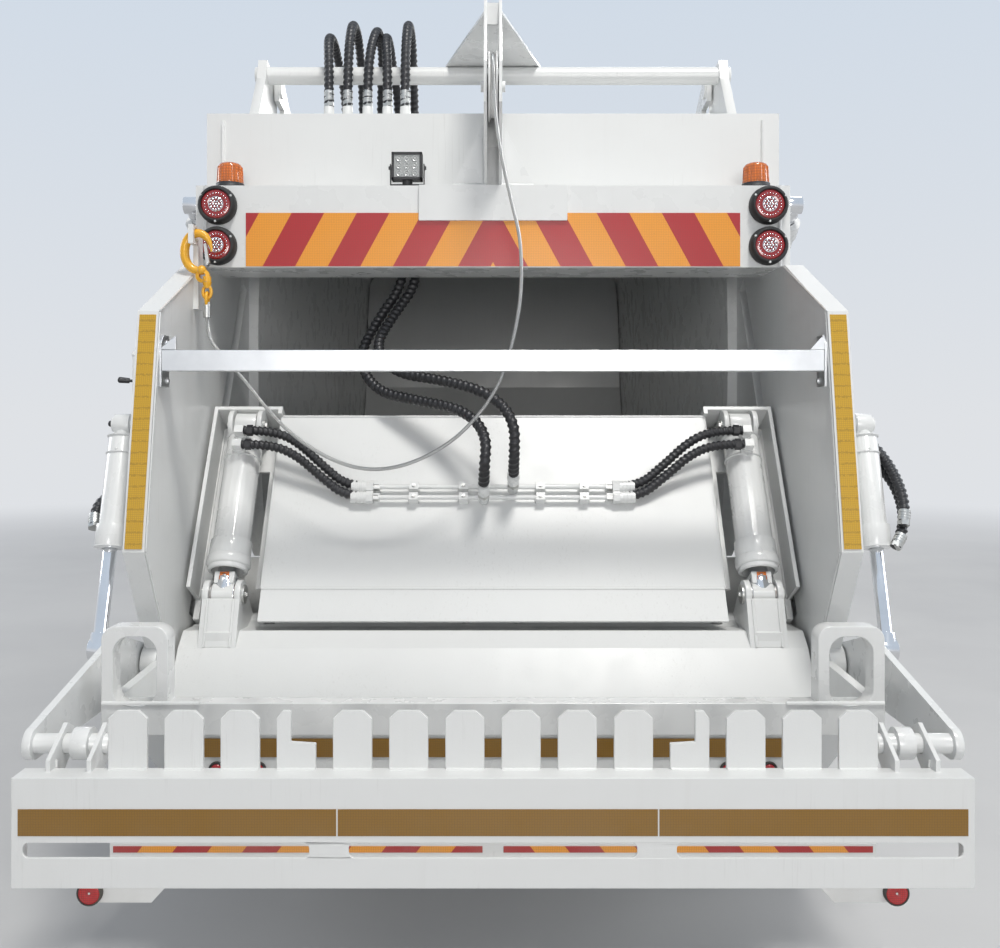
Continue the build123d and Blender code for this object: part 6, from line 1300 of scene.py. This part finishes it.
# Along the chassis
markers, sockets = Shape(), Shape()
for side in sides:
    for y in (-420, 560, 1560):
        markers.box((side * 1141, side * 1150), (y - 42, y + 42), (785, 815))
        sockets.box((side * 1139, side * 1144), (y - 48, y + 48), (779, 821))
markers.piece("side_markers", "chassis", "amber lens", "amber", bevel=3, segments=3)
sockets.piece("side_marker_bases", "chassis", "black plastic", "black_plastic", bevel=2)

spring_x = 380
fasteners = Shape()
for side in sides:
    x = side * 426
    for y in (-1880, -700, 400, 1500):
        for dy in (-34, 34):
            for z in (860, 920):
                fasteners.bolt((x, y + dy, z), (side, 0, 0), 10)
    for y in range(-1700, 1900, 360):
        for z in (790, 960):
            fasteners.bolt((x, y, z), (side, 0, 0), 9)
    for axle, low, top in ((front_axle_y, 455, 650), (rear_axle_y, 420, 700)):
        for dy in (-62, 62):
            for dx in (-44, 44):
                x, y = side * spring_x + dx, axle + dy
                fasteners.rod((x, y, low), (x, y, top), 11, sides=16)
                fasteners.rod((x, y, low - 14), (x, y, low + 6), 18, sides=6)
            x = side * spring_x
            fasteners.rod((x - 44, axle + dy, top), (x + 44, axle + dy, top), 11, sides=16)
fasteners.piece("chassis_fasteners", "chassis", "zinc steel", "chassis_paint", bevel=0.6)

straps, cap = Shape(), Shape()
for y in (170, 670):
    outline = rounded(oblong((489, 1091), (399, 901)), 92)
    rings = []
    for p in outline:
        out = (p - Vector((790, 650))).normalized()
        rings.append([straps.mesh.verts.new((q.x, yy, q.y)) for q, yy in
                      ((p, y - 26), (p, y + 26), (p + out * 5, y + 26), (p + out * 5, y - 26))])
    straps.skin(rings + [rings[0]])
    straps.bolt((1094, y, 700), (1, 0, 0), 9)
cap_place = (920, 800, 926)
cap.turned([(0, 20), (0, 54), (14, 56), (24, 50), (30, 44), (30, 6)], cap_place, (0, 0, 1), 48)
for k in range(12):
    a = 2 * pi * k / 12
    cap.box((-3, 3), (50, 57), (2, 20), turn=Matrix.Translation(cap_place) @ Matrix.Rotation(a, 4, "Z"))
straps.piece("tank_straps", "chassis", "aluminium", "aluminium", bevel=1)
cap.piece("tank_cap", "chassis", "black plastic", "black_plastic", bevel=1)
lid = Shape()
for y in (240, 740):
    lid.box((-1076, -1064), (y - 18, y + 18), (770, 836))
    lid.rod((-1072, y - 14, 800), (-1072, y + 14, 800), 8, sides=12)
lid.piece("battery_latches", "chassis", "zinc steel", "aluminium", bevel=2)

# Refuse body: weld beads along its outside rings, and hinge pin caps
def skin_at(z):
    """x of the body's bulged side at a height."""
    low, high, floor_x, belly_x = 1090, 2988, 1062, 1104
    middle = (low + high) / 2
    return floor_x + (belly_x - floor_x) * (1 - ((z - middle) / ((high - low) / 2)) ** 2)


beads = Shape()
body_half, ring_count, ring_length, last_ring_length = 2000, 8, 90, 130
spread = (2 * body_half - last_ring_length) / (ring_count - 1)
for i in range(ring_count):
    length = last_ring_length if i == ring_count - 1 else ring_length
    front_edge = body_half - i * spread
    for y in (front_edge - length - 3, front_edge + 3):
        if abs(y) >= body_half - 4:
            continue
        for side in sides:
            levels = [1160 + 120 * k for k in range(15)]
            for a, b in zip(levels, levels[1:]):
                beads.bead((side * skin_at(a), y, a), (side * skin_at(b), y, b), 4, (side, 0, 0), step=16)
beads.piece("body_ring_welds", "chassis", "white paint", "white_paint", smooth=70)
caps = Shape()
for side in sides:
    for end in (-1, 1):
        caps.turned([(0, 3), (0, 22), (6, 22), (9, 17), (9, 3)], (side * 1010 + end * 22, -2060, 3215),
                    (end, 0, 0), 32)
caps.piece("hinge_pin_caps", "chassis", "zinc steel", "rod_chrome", bevel=1)

marks, feet = Shape(), Shape()
for k in range(5):
    x = -800 + k * 400
    marks.turned([(0, 2), (0, 26), (16, 24), (26, 16), (30, 2)], (x, 3620, 2684), (0, 0, 1), 32)
    feet.turned([(-6, 2), (-6, 32), (3, 32), (5, 28), (5, 2)], (x, 3620, 2684), (0, 0, 1), 32)
marks.piece("roof_marker_lenses", "cab", "amber lens", "amber", smooth=60)
feet.piece("roof_marker_bases", "cab", "gasket rubber", "black_plastic", smooth=60)

# Floor, backdrop, light
backdrop_low, backdrop_high = (0.74, 0.76, 0.79, 1), (0.62, 0.7, 0.8, 1)


def seen_directly(net):
    """1 for rays that see the studio itself, straight or in metal and glass; 0 for rays that light the truck."""
    rays = net.add("LightPath").outputs
    return net.math("MAXIMUM", rays["Is Camera Ray"], net.math("MAXIMUM", rays["Is Glossy Ray"],
                                                               rays["Is Transmission Ray"]))


floor_material = bpy.data.materials.new("studio floor")
floor_material.use_nodes = True
net = Net(floor_material.node_tree)
floor_shader = floor_material.node_tree.nodes["Principled BSDF"]
floor_shader.inputs["Roughness"].default_value = 0.75
net.feed(floor_shader.inputs["Base Color"], net.mix(net.remap(net.noise(0.7, 5), 0.3, 0.7), (0.52, 0.52, 0.525, 1),
                                                    (0.57, 0.57, 0.57, 1)))
place = net.add("SeparateXYZ", Vector=net.add("NewGeometry").outputs["Position"]).outputs
far_off = net.math("SQRT", net.math("ADD", net.math("POWER", place["X"], 2), net.math("POWER", place["Y"], 2)))
glow = net.add("Emission", Color=backdrop_low, Strength=1.0)
join = net.add("MixShader")
net.feed(join.inputs[0], net.math("MULTIPLY", net.remap(far_off, 6.5, 17, smooth=True), seen_directly(net)))
net.feed(join.inputs[1], floor_shader.outputs[0])
net.feed(join.inputs[2], glow.outputs[0])
net.feed(floor_material.node_tree.nodes["Material Output"].inputs["Surface"], join.outputs[0])
floor_mesh = bpy.data.meshes.new("studio_floor")
reach = 90
floor_mesh.from_pydata([(-reach, -reach, 0), (reach, -reach, 0), (reach, reach, 0), (-reach, reach, 0)], [],
                       [(0, 1, 2, 3)])
floor_mesh.materials.append(floor_material)
floor = bpy.data.objects.new("studio_floor", floor_mesh)
bpy.context.scene.collection.objects.link(floor)

world = bpy.data.worlds.new("studio")
bpy.context.scene.world = world
world.use_nodes = True
net = Net(world.node_tree)
sky = world.node_tree.nodes["Background"]
seen = seen_directly(net)
up = net.add("SeparateXYZ", Vector=net.add("TexCoord").outputs["Generated"]).outputs["Z"]
shell = net.mix(net.remap(up, 0.0, 0.45), backdrop_low, backdrop_high)
net.feed(sky.inputs["Color"], net.mix(seen, (0.8, 0.85, 0.92, 1), shell))
net.feed(sky.inputs["Strength"], net.remap(seen, 0, 1, 0.36, 1.0))


def lamp(name, place, aim, size, power, color):
    light = bpy.data.lights.new(name, "AREA")
    light.shape, light.size, light.energy, light.color = "DISK", size, power, color
    holder = bpy.data.objects.new(name, light)
    holder.location = place
    holder.rotation_euler = (Vector(aim) - Vector(place)).to_track_quat("-Z", "Y").to_euler()
    bpy.context.scene.collection.objects.link(holder)


lamp("key", (1.8, -7.6, 11.5), (0, -2.6, 1.2), 2.6, 800, (1, 0.98, 0.94))
lamp("rear fill", (0.6, -16, 2.4), (0, -2, 1.7), 4, 390, (1, 0.98, 0.96))
lamp("right", (12, -2, 6), (0, 0.5, 1.4), 6, 420, (0.94, 0.97, 1))
lamp("front", (4, 12, 9), (0, 1, 1.5), 6, 560, (1, 0.98, 0.95))
lamp("left", (-12, 3, 6), (0, 0, 1.5), 6, 480, (0.96, 0.98, 1))

bpy.context.scene.view_settings.view_transform = "Standard"
bpy.context.view_layer.update()
